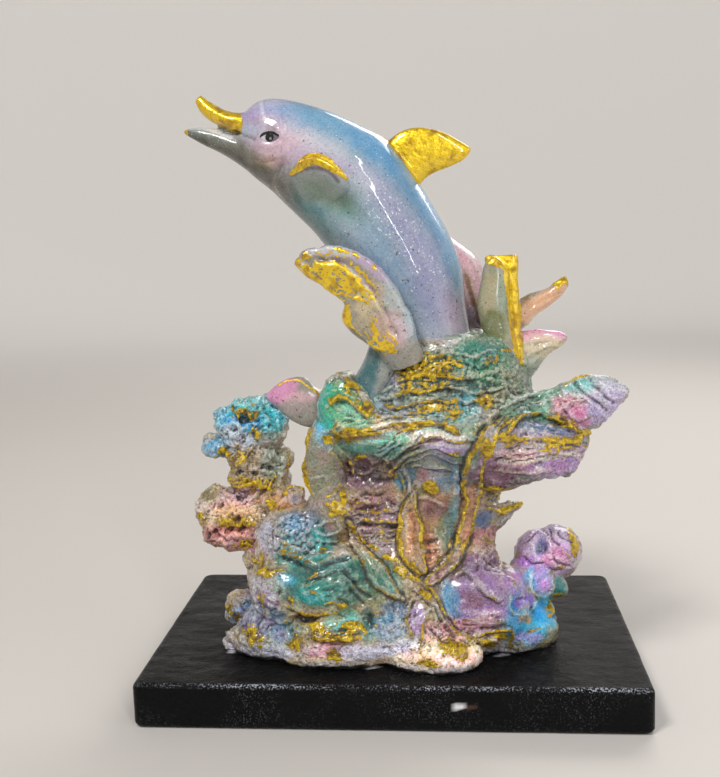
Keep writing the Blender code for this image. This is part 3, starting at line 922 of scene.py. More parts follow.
class NodeTable:
    """Short ways to lay and link a material's nodes."""

    def __init__(self, name: str) -> None:
        """Starts a material with its surface shader."""
        self.material = bpy.data.materials.new(name)
        self.material.use_nodes = True
        self.tree = self.material.node_tree
        self.shader = self.tree.nodes["Principled BSDF"]
        self.place = self.node("ShaderNodeTexCoord").outputs["Object"]

    def node(self, kind: str, **settings: object) -> bpy.types.Node:
        """A node of a kind, with settings on the node itself."""
        made = self.tree.nodes.new(kind)
        for key, value in settings.items():
            setattr(made, key, value)
        return made

    def put(self, socket: bpy.types.NodeSocket, value: object) -> None:
        """Links a socket, or sets it to a number or colour."""
        if isinstance(value, bpy.types.NodeSocket):
            self.tree.links.new(value, socket)
        elif isinstance(value, tuple) and len(value) == 3 and socket.type == "RGBA":
            socket.default_value = (*value, 1.0)
        else:
            socket.default_value = value

    def surface(self, name: str, value: object) -> None:
        """Links or sets an input of the surface shader."""
        self.put(self.shader.inputs[name], value)

    def attribute(self, name: str, part: str) -> bpy.types.NodeSocket:
        """What is stored at each point under a name."""
        return self.node("ShaderNodeAttribute", attribute_name=name).outputs[part]

    def parts(self, vector: bpy.types.NodeSocket) -> bpy.types.NodeOutputs:
        """The x, y and z of a vector."""
        made = self.node("ShaderNodeSeparateXYZ")
        self.put(made.inputs[0], vector)
        return made.outputs

    def sum(self, kind: str, one: object, two: object = 0.0) -> bpy.types.NodeSocket:
        """Arithmetic on two values, such as ADD or MULTIPLY."""
        made = self.node("ShaderNodeMath", operation=kind)
        self.put(made.inputs[0], one)
        self.put(made.inputs[1], two)
        return made.outputs[0]

    def noise(self, scale: float, detail: float = 3.0, stretch: Row = (1, 1, 1)) -> bpy.types.NodeSocket:
        """Cloudy noise at a scale per metre, stretched along the axes."""
        where = self.node("ShaderNodeMapping")
        self.put(where.inputs["Vector"], self.place)
        where.inputs["Scale"].default_value = stretch
        made = self.node("ShaderNodeTexNoise")
        self.put(made.inputs["Vector"], where.outputs[0])
        made.inputs["Scale"].default_value = scale
        made.inputs["Detail"].default_value = detail
        return made.outputs["Fac"]

    def step(self, value: object, low: float, high: float, to: Row = (0.0, 1.0)) -> bpy.types.NodeSocket:
        """A smooth step of a value from one range to another."""
        made = self.node("ShaderNodeMapRange", interpolation_type="SMOOTHSTEP")
        for socket, number in zip(made.inputs, (value, low, high, *to)):
            self.put(socket, number)
        return made.outputs[0]

    def blend(self, share: object, one: object, two: object, kind: str = "MIX") -> bpy.types.NodeSocket:
        """Mixes two colours."""
        made = self.node("ShaderNodeMix", data_type="RGBA", blend_type=kind)
        self.put(made.inputs[0], share)
        self.put(made.inputs[6], one)
        self.put(made.inputs[7], two)
        return made.outputs[2]

    def bump(self, heights: list[tuple[bpy.types.NodeSocket, float]]) -> None:
        """Roughens the surface by heights, each with its depth in metres."""
        normal: object = None
        for height, depth in heights:
            made = self.node("ShaderNodeBump")
            made.inputs["Distance"].default_value = depth
            self.put(made.inputs["Height"], height)
            if normal is not None:
                self.put(made.inputs["Normal"], normal)
            normal = made.outputs[0]
        self.put(self.shader.inputs["Normal"], normal)


@dataclass(frozen=True)
class PearlPaint:
    """Pearly paint with gold leaf under a gloss lacquer.

    The point attribute paint gives the colour; coats gives gold, how much each low place is darkened as
    dirty paint and painted shade, and sparkle for glittery flecks and painted glints, in its three channels.
    """

    name: str
    coat: float
    grain: float
    flecks: float
    mottle: float
    ripples: float
    rough: float = 0.34
    metal: float = 0.55
    shine: float = 0.06
    contrast: float = 0.12
    glitter: float = 0.0
    wobble: float = 0.0005
    crumple: float = 0.0016
    veins: float = 0.0
    tarnish: float = 0.3
    milk: Row = (0.86, 0.86, 0.88)
    vein: Row = (0.34, 0.27, 0.22)
    fleck: Row = (0.07, 0.07, 0.09)
    flake: Row = (0.97, 0.97, 1.0)
    dirt: Row = (0.16, 0.12, 0.10)
    leaf: Row = (0.93, 0.64, 0.012)
    aged_and_shaded_leaf: Row = (0.20, 0.09, 0.012)

    def material(self) -> bpy.types.Material:
        """Lays the nodes: mottled paint, dark flecks, white flecks where set that are glittery flecks and
        painted glints, low places darkened as dirty paint and painted shade, then gold where the leaf lies.
        """
        net = NodeTable(self.name)
        paint = net.attribute("paint", "Color")
        coats = net.attribute("coats", "Color")
        split = net.node("ShaderNodeSeparateColor")
        net.put(split.inputs[0], coats)
        gilt, dirt, sparkle = split.outputs[0], split.outputs[1], split.outputs[2]
        fine = net.noise(900, 4)
        broad = net.noise(170, 5)
        colour = net.blend(net.step(broad, 0.35, 0.7, (0.0, self.mottle)), paint, self.milk)
        shade = net.step(fine, 0.3, 0.7, (1 - self.contrast, 1 + self.contrast))
        colour = net.blend(1.0, colour, shade, "MULTIPLY")
        ripple = net.noise(330, 4)
        if self.veins:
            lines = net.sum("ABSOLUTE", net.sum("SUBTRACT", net.noise(80, 5), 0.5))
            lines = net.sum("MULTIPLY", net.step(lines, 0.013, 0.002),
                            net.step(net.noise(40, 2), 0.38, 0.6, (0.15, self.veins)))
            colour = net.blend(lines, colour, self.vein, "MULTIPLY")
        sparse = net.step(net.parts(net.place)[2], 0.17, 0.33, (0.0, 0.05))
        crumbs = net.sum("SUBTRACT", net.noise(560, 5), sparse)
        crumbs = net.sum("ADD", crumbs, net.step(net.noise(55, 3), 0.3, 0.7, (-0.03, 0.03)))
        flecks = net.step(crumbs, 0.72 - 0.1 * self.flecks, 0.74 - 0.1 * self.flecks, (0.0, 0.85))
        colour = net.blend(flecks, colour, self.fleck)
        if self.glitter:
            # White flecks where the sparkle lies: glittery flecks that are also painted glints.
            glint_flakes = net.sum("ADD", net.noise(840, 3), net.sum("MULTIPLY", sparkle, 0.11))
            colour = net.blend(net.step(glint_flakes, 0.71, 0.74, (0.0, 0.8)), colour, self.flake)
        # Low places darker: dirty paint and painted shade.
        colour = net.blend(dirt, colour, self.dirt, "MULTIPLY")
        edge = net.sum("ADD", gilt, net.step(fine, 0.3, 0.7, (-0.22, 0.22)))
        gold = net.step(edge, 0.42, 0.56)
        deep = (0.66 - 0.44 * self.tarnish, 0.38 - 0.26 * self.tarnish, 0.005)
        leaf = net.blend(net.step(net.sum("ADD", broad, ripple), 0.72, 1.08), deep, self.leaf)
        # The gold also darker in low places: aged leaf and painted shade.
        leaf = net.blend(net.sum("MULTIPLY", dirt, 1.2), leaf, self.aged_and_shaded_leaf)
        net.surface("Base Color", net.blend(gold, colour, leaf))
        net.surface("Metallic", net.sum("MULTIPLY", gold, self.metal))
        net.surface("Roughness", net.step(fine, 0.3, 0.7, (self.rough - 0.08, self.rough + 0.08)))
        net.surface("Coat Weight", self.coat)
        net.surface("Coat Roughness", self.shine)
        crumpled = net.sum("MULTIPLY", ripple, net.sum("MULTIPLY", gold, self.tarnish))
        heights = [(fine, self.grain), (ripple, self.ripples), (crumpled, self.crumple),
                   (net.noise(95, 3), self.wobble)]
        if self.glitter:
            heights.append((net.sum("MULTIPLY", net.noise(640, 2), sparkle), self.glitter))
        net.bump(heights)
        return net.material


@dataclass(frozen=True)
class BoardPaint:
    """Gloss black paint brushed thickly over a wooden board, chipped in one place."""

    name: str = "black_gloss"
    dust: Row = (0.50, 0.54, 0.62)
    brush_marks: float = 0.0005
    crumbs: float = 0.0006
    blisters: float = 0.0014

    def material(self) -> bpy.types.Material:
        """Black with patches of pale specks, partly settled grit and partly painted glints, brush lines
        along the board and blisters. The point attribute paint gives the colour, and its alpha a painted
        highlight on the rounded top front edge."""
        net = NodeTable(self.name)
        paint = net.attribute("paint", "Color")
        brushed = net.noise(45, 5, (1.0, 2.6, 2.6))
        edge_highlight = net.attribute("paint", "Alpha")
        crumbs = net.noise(1150, 4)
        # Patches of pale specks: settled grit and painted glints, with the painted highlight of the top
        # front edge added in.
        dust_and_glint_patches = net.sum("ADD", net.step(net.noise(34, 4), 0.42, 0.62, (0.0, 0.14)), edge_highlight)
        crumbled = net.sum("ADD", crumbs, net.sum("MULTIPLY", edge_highlight, 0.09))
        dust = net.sum("MULTIPLY", dust_and_glint_patches, net.step(crumbled, 0.57, 0.66))
        colour = net.blend(net.sum("MULTIPLY", dust, 0.8), paint, self.dust)
        net.surface("Base Color", colour)
        net.surface("Roughness", net.step(brushed, 0.3, 0.75, (0.12, 0.42)))
        net.surface("IOR", 1.38)
        net.surface("Specular IOR Level", 0.13)
        net.bump([(brushed, self.brush_marks), (crumbs, self.crumbs), (net.noise(130, 4), self.blisters)])
        return net.material


# Sheets of marks in drawn units: under each heading, the tint, the oval (x, z, half width, half height
# and turn) and the numbers of its mark, or the numbers and, after a bar, the points of its route.

# Painted shade in the mother's marks: the moss and khaki dabs under the jaw and head, the teal and deep teal
# dabs on the chest and the green-grey and olive dabs under the near flipper darken what faces down or lies
# under something, over the body's own paint. The white stroke above the eye is a painted highlight.
MOTHER_MARKS = """
ridges:
1.1 -1.2 | -84 280, -78 278.5, -72 277, -67 274
1.3 0.6 | -65.5 275, -62 279.5, -58 281, -54 279, -52 275
1.2 0.4 | -65 272, -60 270.8, -54 273
1.6 0.5 | -68 270, -61 266, -54 266, -50 270
1.3 -0.8 | -68 264, -62 262, -57 263
1.4 -1 | -53 262, -56.5 254, -58 248, -54 243
1.6 -0.7 | -51 262, -50 256, -52 248
1.2 -0.7 | -53 264, -53 256, -50 250
hollows:
-59 276.3 8 6 1.3
-26 244 12 5 -20 1.2
dabs:
slate 6 186 46 40 -70 0.55 round
silver -10 224 50 24 -56 0.75 round
lilac -66 288 24 16 10 0.9 round
pearl -40 272 26 12 -10 0.8 round
rose -56 270 18 13 0.6 round
sky -30 284 32 8 -14 0.8 round
sky 4 264 38 12 -44 0.95 round
sky 30 226 40 9 -62 0.9 round
blue -4 268 20 5 -38 0.28 round
blue 16 247 24 5 -56 0.28 round
pearl -16 256 26 8 -34 0.6
lilac -30 262 20 6 -16 0.5
lilac 8 230 30 8 -60 0.5
lilac 24 196 28 11 -76 0.5 round
slate 14 214 40 16 -66 0.32
sky -2 214 26 8 -60 0.25
rose 38 176 20 8 -80 0.4
pearl 28 168 22 12 0.4
deep_teal -44 230 26 9 -52 1 round
teal -40 238 18 6 -44 0.5 round
sea_green -24 240 14 6 -30 0.55
olive -21 243 10 6 0.3
grey_teal -26 206 30 10 -58 0.7 round
pearl -62 294 16 4 0.6
peach -62 263 9 4 0.5
mauve -61 282 8 3 -10 0.7
mauve -53 256 5 10 0.6
stone -58 250 9 10 0.7
stone -38 252 12 8 -10 0.75
green_grey -33 247 13 7 -16 0.85
silver -88 280 26 5 -6 0.95 round
khaki -78 267 28 8 -34 0.7 round
moss -92 272 18 5 -28 0.95 round
moss -72 259.5 22 8 -38 1 round
moss -58 247 14 8 -45 0.8 round
strokes:
white 1.6 0.7 | -80 276, -92 281, -103 282
stone 1.5 0.6 | -53 260, -57 254, -58 248, -54 243
white 0.8 0.5 | -63 293, -62 286, -61 282
brown 1.3 0.7 | -48 256, -40 259, -30 258, -24 252
"""

CALF_MARKS = """
ridges:
1.6 -1.2 | 40 203, 43 192, 47 182, 51 172
1.2 0.8 0.55 | 41.5 203, 44.5 192, 48.5 182, 52 173
dabs:
lilac 10 218 40 12 -35 0.8 round
pink 20 236 44 10 -32 0.7 round
sky -14 246 20 10 -20 0.7 round
rose 48 200 14 22 0.8 round
lilac 45 178 10 10 0.7
strokes:
peach 1.6 0.7 | 41.5 203, 44.5 192, 48.5 182, 52 173
white 1 0.5 | 40 216, 46 209, 50 200
"""

# The silver dab and the white stroke at the tip of the fluke are a painted glint.
TAIL_MARKS = """
ridges:
3.4 1.9 | -46 212, -38 216.5, -25 218, -13 213, -4 205, 4 194, 11 180, 15 168
2 -1.5 | -42 210, -28 212, -16 206, -8 196, -1 184, 6 170
1 0.7 0.95 | -46 210, -40 204.5, -33 200.5, -26 195, -20.5 189
1 0.7 0.95 | -20.5 189, -20.5 181, -16.5 175, -9.5 169.5, -2 163.5
2.2 1.2 0.9 | -20 189, -21 182, -16 175
2.6 1.1 1 | 63.5 205, 66 197, 66.5 186, 67 172, 70 156
1.3 0.6 1 | 69 188.6, 79.4 195.4, 88 198, 92.5 199
1.4 -0.7 | 70 184, 80 187, 90 193
1.4 0.6 | 72 176, 80 173, 90 172
1.1 0.7 0.9 | -60 145, -48 149, -40 144, -36 141
folds:
-24 202 24 9 -34 -34 12 2.6 1
-2 176 14 14 -50 12 3.4 0.9
80 158 20 14 20 12 3.2 1.4
dabs:
cream -4 186 18 14 -46 0.8
lilac -10 213 40 6 -40 0.8 round
mauve -16 205 34 2.2 -40 0.6
pearl -26 217 18 4 -6 0.8
silver 8 186 9 20 20 0.8
rose 2 176 12 10 -40 0.5
stone -6 178 8 10 0.4
silver -44 210 4 4 0.9
grey_teal -8 150 18 16 0.95 round
stone 2 150 12 18 0.7 round
deep_teal -14 150 9 22 -20 0.8 round
khaki 57 184 13 26 0.95 round
beige 54 192 5 14 0.5
green_grey 61 192 4 16 0.6
olive 56 175 8 10 1
peach 84 187 22 9 24 0.95 round
cream 78 178 10 5 24 0.6
rose 82 171 20 5 0.95 round
cream 80 162 18 8 0.8 round
green_grey 76 152 12 10 0.7
stone -46 131 22 14 1 round
pink -61 142 16 9 24 0.85 round
rose -48 138 12 6 20 0.6
stone -50 133 16 6 14 0.7
strokes:
white 2.2 0.8 | -44 209, -41 207
white 2 0.45 | -22 208, -14 203, -9 196
pink 2 0.7 | 70 173, 78 174, 90 172
glazes:
-16 194 36 30 0.88 0.84 0.74
gold:
-30 206.3 15 7.6 -14 1
-18.5 201 14 10 -44 1
-30 201 14 5 -34 1
-41 208 5 4 0.8
-5.5 174 2.6 10 24 1
-1 167 5 9 52 1
-20 184 3 6 12 1
90 197.5 5 3 10 0.9
"""

# The brown stroke along the underside of the long lap on the left is a painted shadow under that fold.
WAVE_MARKS = """
laps:
6 1.8 | -4 142, 10 148, 26 150, 44 149, 60 152
6 2 | -6 137, 8 141, 22 142, 34 144, 48 141, 66 145
6 2 | -8 132, 8 134, 20 137, 34 135, 50 137, 62 136
6 1.6 | -8 127, 6 129, 24 131.5, 40 129
5 1.6 | 6 160, 13 166, 24 168.5, 38 166.5
4 1.2 | 20 160, 30 162, 44 160, 56 163
7 2.4 | -30 121, -12 121.5, 2 123.5, 16 124.4, 29 124.8, 32 121.9, 39 118.3
9 2.4 | 62 120, 68 126, 78 128.5, 88 125, 98 120, 106 118
8 1.4 | 60 113, 74 116, 92 114, 104 112
8 1.6 | 54 108, 70 106, 84 108, 98 107
7 1.4 | 54 99, 70 98, 86 100
6 2.2 | -31 147, -25 150, -20 146.5, -14 140, -9 133
6 2.6 | -30 136, -26 138.5, -20 136.5, -15 132, -10 127
6 1.4 | 90 135, 92 131, 97 126, 104 128
6 1.6 | 46 121, 56 130, 66 137, 80 139
ridges:
1.5 1.5 1 | -33 147, -27 151.5, -20 148, -14 141, -9 132
1.5 1.5 1 | -30 136, -26 140, -19 137, -12 132
1.6 1.8 1 | -26 127.4, -28.4 123, -24 120.6, -10.6 120.2, -2 121.4
1.2 1.5 1 | -1 124, 9 124, 19.2 124.6, 29.3 124.9, 31.6 121.9, 39 118.3
0.9 0.9 1 | 1.6 129.1, 13 128.4, 21 128.6
1 0.9 0.9 | 2 119.2, 9.4 120.9, 16.8 122
1.2 1.6 1 | 56 122, 63 126.5, 70 128.5, 80 128.8, 90 128, 95 122.5, 105 118
1.1 0.8 0.9 | 90 143, 100 148, 112 149.5, 124 145
1.3 -1 | 96 146, 106 138, 114 130
1.3 -0.9 | 104 148, 112 140, 118 134
1.6 1 1 | 46 136, 52 139, 54 134
1.3 0.9 1 | -41 121, -46 113, -47 103, -47 93, -43 85
1.3 0.9 | -43 92, -38 86, -33 90, -35 97, -41 97
fronds:
3.6 | 58 127 1.2, 55 123 2.2, 50 115.4 4.4, 44.4 104 4.5, 42.4 92 4.3, 42.2 83 2.5, 40.4 75 3.2,\
 39.2 66 3.5, 36.3 57 3.4, 30 48.5 3.3, 21 40.5 2.6
folds:
22 142 60 20 -3 9 3.8 1.1
4 127 36 6 -2 20 2.2 1
78 106 40 20 5 16 5 1.2
82 134 30 12 16 12 4.2 1
112 136 20 16 -42 14 3 0.6
hollows:
-22 128 7 5 -30 1.6
86 121 16 3.4 -12 1.6
knobs:
22 153 26 12 4.2 1.1
40 146 34 22 3 0.6
calm:
-24 134 16 18 0.8
10 112 44 16 0.7
112 136 24 16 0.7
50 108 14 22 -30 0.8
-38 102 15 28 1
dabs:
khaki -38 102 14 26 0.9 round
stone -37 96 12 20 0.6
stone -38 108 7 12 0.8
green_grey -33 96 7 9 0.6
silver 8 134 44 18 0.8 round
slate -2 146 16 10 0.6 round
lilac 0 150 12 6 0.5
pearl 20 166 22 5 6 0.85 round
teal 50 157 22 12 0.85 round
deep_teal 34 147 26 5 -2 0.8
sea_green 62 150 16 14 0.6 round
stone 66 150 10 16 0.6
sky 42 137 9 8 0.9
aqua 38 131 12 3 0.7
beige 58 134 12 12 40 0.7
green_grey 10 140 30 4 0.5
cream -2 127 34 4.5 -2 0.85
aqua 20 128 24 2.6 0.5
aqua -2 116 26 4.5 12 0.85
sea_green -6 112 20 4 14 0.7
pearl 22 119 20 3 -6 0.7
turquoise -33 134 7 20 1 round
sea_green -20 136 14 14 0.95 round
aqua -17 129 11 6 -28 0.8
khaki -14 138 6 8 0.5
sky -35 118 5 9 20 0.9
sea_green 80 135 26 9 4 0.9 round
green_grey 68 137 14 9 0.6
pearl 114 138 18 14 0.95 round
lilac 112 132 14 10 40 0.7 round
aqua 99 144 9 5 20 0.7
rose 93 134 10 9 0.95
pink 97 128 8 7 -50 0.6
lilac 78 113 30 12 0.9 round
slate 80 123 18 3.6 -6 0.8
pearl 70 116 16 4 0.6
lilac 84 104 30 9 1 round
violet 92 102 18 5 0.4
rose 64 107 14 5 0.6
brown 58 92 20 9 0.8 round
mauve 56 99 16 5 0.8
strokes:
white 1.1 0.6 | -6 124, 8 127, 24 127
white 1.2 0.7 | 12 117, 24 119, 34 115, 44 112
white 1.3 0.6 | 52 109, 66 111, 82 113
white 1.6 0.7 | 58 104, 72 105, 88 107, 98 109
deep_teal 1.4 0.9 | 24 144, 40 144, 56 145
brown 2.2 0.4 | -32 148, -26 152, -19 148, -13 141
brown 1.4 0.6 | -30 118, -14 118, 0 118
gold:
19 153 15 8 -8 1
31 157 8 4 0.95
12 143 8 3 0.9
24 134 12 3.4 1
35 132 5 5 0.9
50 136 4 4 1
3 135 8 2 0.8
-19 145 5 5 0.9
-27 138 4 3 0.9
-23 118 7 3.6 1
13 122.8 5 3 1
-32 115 4 5 0.9
90 127 8 3 -14 0.9
90 115 14 4 1
101 119 8 4 1
63 116 8 3.4 -18 1
66 124 8 3 30 0.9
56 88 9 4 0.7
62 163 6 1.6 0.7
56 160 5 2 0.6
14 124 18 2.2 2 1
-15 121 13 2.4 1
-12 134 4 8 40 0.8
glazes:
34 150 44 22 0.8 0.79 0.56
6 121 44 8 1.55 1.4 1.15
-22 136 16 18 1.28 1.08 0.8
78 110 34 14 1.12 1.02 0.82
60 95 26 9 0.72 0.62 0.6
-38 98 16 24 0.86 0.84 0.76
"""

# The brown stroke under the top lap and the slate stroke under the lowest lap are painted shadows under
# those folds.
LEDGE_MARKS = """
laps:
8 2.3 | 7.5 111, 12.2 114.5, 18 116.8, 26.4 117.6, 33.8 116.1, 43.4 117
6 1.5 | 14 109, 20.7 112.7, 29.2 110.3, 37.6 108.5
5 1.1 | 15 106, 20.6 109.4, 29 106.6, 37.6 104
5 1.6 | 12 102, 16 103.9, 23.4 101.5, 31.9 100.3
ridges:
1.6 1.8 | 1 98.7, 5.7 104, 10.4 108.7, 17.8 112.7
1.2 1 | 3.2 95.8, 6.8 100.5, 10.3 105.1, 16 108
1.1 1.4 | 7 101, 10.5 95, 10.5 90
1 1 | 5 100, 7.5 95, 8.6 88
2 1.2 | 36 101, 36.6 93, 35.6 86
1.1 1 0.4 | 15 86, 20.3 85.7, 26 83.9, 30 82
1.2 1.2 0.9 | 47 89.7, 53 90.5, 60 89.4
1.3 1 | -19 104, -15 108, -9 106, -8 101, -13 99, -18 101
1.4 1.2 | -26 112, -20 106, -19 98
1.3 1 | -32 112, -26 104, -26 97
folds:
-10 100 18 10 -14 12 3.4 1.4
4 112 18 8 30 38 12 3 1.6
hollows:
-12 100 18 9 2.6
22 92.4 6.5 4.6 -40 -2.4
dabs:
mauve -10 99 19 11 1
brown -14 103 11 6 0.5
khaki -2 101 7 6 0.5
aqua 0 110.4 9 4.6 10 1
sea_green 3 108 6 2.4 20 0.9
lilac 30 112.5 15 4.4 -8 1
stone 22 107 10 3.4 -10 0.7
slate 31 105.6 9 2 -14 0.9
sky 9 96.5 4.6 7.4 -24 1
pearl 23 96.6 10 6 1
rose 17.5 99 4 4 0.6
sky 29 93 5 5 0.5
sky 36.2 95 3.2 8 1
grey_teal 35.6 80 3.4 10 1
olive 17.6 90.2 2.8 3 1
mauve 24 81 9 5 0.7
lilac 56 106.4 9 5 0.9
mauve 55 97.5 12 7 1
strokes:
white 0.9 0.8 | 8 101, 10.8 95, 10.6 89
sky 0.8 0.9 | 5.6 100, 8 95, 7.6 90
white 1.2 0.8 | 19 115, 28 114, 38 112.6
slate 0.9 0.9 | 16 102.6, 23.4 100.2, 31.9 99
brown 0.9 0.8 | 7.5 109.4, 12.2 112.8, 18 115.2, 26.4 116
white 0.6 0.8 | 34.8 99, 35 93, 34.6 88
gold:
22 92.4 6.5 4.2 -40 1
52 112 5 6 -40 0.9
55 88.5 7 2.4 0.8
-16 108 5 2.2 24 0.7
36 109 4 1.4 0.6
glazes:
-8 101 26 13 0.62 0.58 0.54
22 104 26 8 0.72 0.72 0.7
20 92 24 14 0.9 0.86 0.8
"""

# The brown stroke just under the lap that runs from x -20 to 2 near z 72 is a painted shadow under that
# fold.
TRUNK_MARKS = """
laps:
7 2.4 | 12 36, 22 27, 27 18, 34 9, 44 5, 60 8
8 2 | 33 41, 40 43, 50 34, 58 28
5 1.4 | -41 63, -33 61, -26 59, -20 60
4 1.8 | -20 73.5, -10 72.6, 2 72
ridges:
1.4 -0.7 | 11.5 86, 12.4 72, 12.4 56
0.9 0.6 | 8.6 80, 8 68, 9.5 56
0.9 0.6 | 14.6 80, 15 68, 15.4 57
1.3 1.8 1 | 15 41, 21.9 35.3, 25.1 29.9, 28.3 23.1, 30.1 17.6, 34 12.8, 42.4 8.8, 47.6 10.9, 55.4 13.7,\
 61.8 13, 64.4 9.6
1.1 1.2 0.8 | 16 33, 10 27, 8 18, 10 8
1.1 1.2 1 | 19.1 21, 17.1 16.1, 15.7 9.2, 14.9 3
1 0.9 0.4 | 18 22, 22 25, 24 20, 30 12
1 1 1 | -20.6 71, -16.4 66.3, -12.9 60
1 1 1 | -19.2 54, -16.2 49.1, -12.7 43.3
1.1 1 0.6 | -21 78.4, -12.4 79, -3.8 78.4
1.3 1 1 | 50 80.2, 57.6 77.9, 64.6 81.1, 70.9 82.8
1.1 1 | -40 69, -36 73, -30 72.5, -27 69, -31 66, -37 66, -40 68
1.2 0.9 | -36 57, -30 55, -24 56
1.2 0.9 | -26 94, -30 88, -34 86
1.2 0.8 | -33 84, -29 80, -24 79
fronds:
2.8 | 12.8 90 1, 11.4 81 4.2, 10.9 73 5.9, 10.6 63 6.2, 12 54 5.6, 15.5 47 3
2.6 0 | -22 73 1, -18.6 63 2.2, -14 54 3.8, -8.5 45.5 5, -2.6 38 4.6, 3 31.5 2.2, 5.5 29 1
3.4 | 58 127 1.2, 55 123 2.2, 50 115.4 4.4, 44.4 104 4.5, 42.4 92 4.3, 42.2 83 2.5, 40.4 75 3.2,\
 39.2 66 3.5, 36.3 57 3.4, 30 48.5 3.3, 21 40.5 2.6
folds:
-9 74 18 20 -2 14 3 2.2
21 58 5 12 2 7 2.2 1.2
46 17 20 4.6 -3 18 1.9 1.5
28 13 9 12 -50 -56 12 2.2 1.4
56 92 16 10 20 10 3.4 1.6
6 24 9 16 80 12 3.2 1
calm:
-6 72 17 22 0.6
24 72 14 28 0.8
11 68 12 26 0.85
41 84 10 44 0.85
-7 46 22 10 -50 0.8
46 30 26 17 -10 0.85
-33 78 13 24 0.5
knobs:
34 0 40 13 3.4 1.2
34 2 24 12 2.4 0.6
57 3 10 6 2.4 0.7
50 49 14 7 3.2 0.9
50 63 12 9 3 0.8
0 10 14 16 3.2 0.7
hollows:
23 68 8 19 3.5
31 70 6 19 2.5
46 29 17 9 -12 3.4
45.5 36.5 7 4.4 -34 -1.6
0 64 9 14 1
12 24 6 9 2
dabs:
beige -20 84 30 30 0.6 round
mauve -7 72 17 22 0.7 round
lilac -6 70 15 19 0.7
mauve -2 80 9 9 0.5
mauve -14 69 8 4 0.7
rose -14 84 8 5 0.5
pearl -5 62 12 7 0.5
stone -35 76 12 24 0.9 round
rose -33 69.5 5 2.6 0.5
beige -28 57 12 6 0.8
peach 21 58 5 12 1
green_grey 28 66 5 16 0.9
grey_teal 33 68 4 18 0.9
beige 20 76 6 7 0.6
beige 10.8 67 6 21 1
peach 11 66 3.4 18 0.6
brown 12.6 70 2 12 0.35
peach 47 109 7 15 -24 0.95
peach 42 88 4.5 14 0.8
brown 43 84 2.4 12 0.25
peach 39.5 68 4.5 14 0.7
beige 29 48 10 6 40 0.9
rose 25 44 7 4 40 0.5
slate 50 75 6 6 1
stone 61 74 10 6 0.9
cream 64 81 9 2.6 0.9
rose 52 64 12 7 0.9 round
beige 46 61 8 6 0.5
mauve 50 49 16 8 1 round
brown 51 46 9 4 0.4
lilac 48 28 22 19 1 round
mauve 43 28.6 10 4.6 -14 0.8
rose 54 20 9 5 0.6
mauve 58 30 8 8 0.4
sky 31 30 6 12 24 0.9
slate 35 24 4 8 24 0.4
rose 46 16.6 16 4 0.9
green_grey -6 45 8 17 42 1
aqua 0 37 5 5 40 0.6
sea_green -11 50 4 7 40 0.4
khaki -2 28 9 5 0.7
deep_teal -13 18 4 8 0.8
slate 1 24 9 6 0.8
sky -3 14 11 8 0.8
pearl -1 12 9 5 0.5
lilac 13 17 5 13 0.9
beige 24 18 5 9 -50 0.8
rose 28 8 14 9 0.8 round
cream 40 1 28 9 1 round
pearl 0 1 16 8 0.9 round
pearl 58 4 8 5 0.8
cream 10 -8 80 7 0.9 round
rose 34 -4 16 6 0.4
strokes:
white 1.2 0.6 | -17 61, -12.6 53, -7 45.5, -1 38
white 1 0.6 | 40 40, 46 37, 51 32
pink 0.8 0.7 | 33 17.4, 44 15, 58 16.6
brown 0.9 0.8 | -20 71.6, -10 70.8, 2 70.4
gold:
-28 79 7 6 20 1
-24.4 85 2.6 6 16 1
-10 79 7 1.6 0.8
5 60 2.6 12 6 0.8
8 46.4 9 5 1
5 51 4 3 0.8
14 42 6 4 0.8
53 116 5 6 -40 0.9
38 58 3 5 0.6
26 50 5 2.6 45 0.7
62 79.6 9 2 20 0.9
32 3 11 7 0.7
36.7 -2.3 4 2 1
19.3 -6.7 7 3 0.8
15 6 2.4 8 0.6
52 5 4 2 0.9
57.6 10.4 5 3 1
64 7 2.4 4.6 0.9
19 34 5 3 -40 0.7
53 62 5 2.4 -30 0.5
-14 63 2.2 9 40 0.9
-2 52 6 2 -20 0.8
33 60 2.6 9 -20 0.8
-17 83 5 1.6 10 0.6
30 54 5 2.4 50 0.8
glazes:
24 68 15 26 0.92 0.7 0.56
-8 72 20 26 1.02 0.96 0.7
50 34 26 20 0.72 0.62 0.68
-12 36 20 18 0.66 0.72 0.62
30 2 34 13 1.55 1.5 1.5
-10 -4 90 9 1.4 1.4 1.5
76 24 18 22 0.92 1.2 1.3
80 57 17 13 1.3 1.02 1.18
50 70 14 20 0.85 0.78 0.76
"""
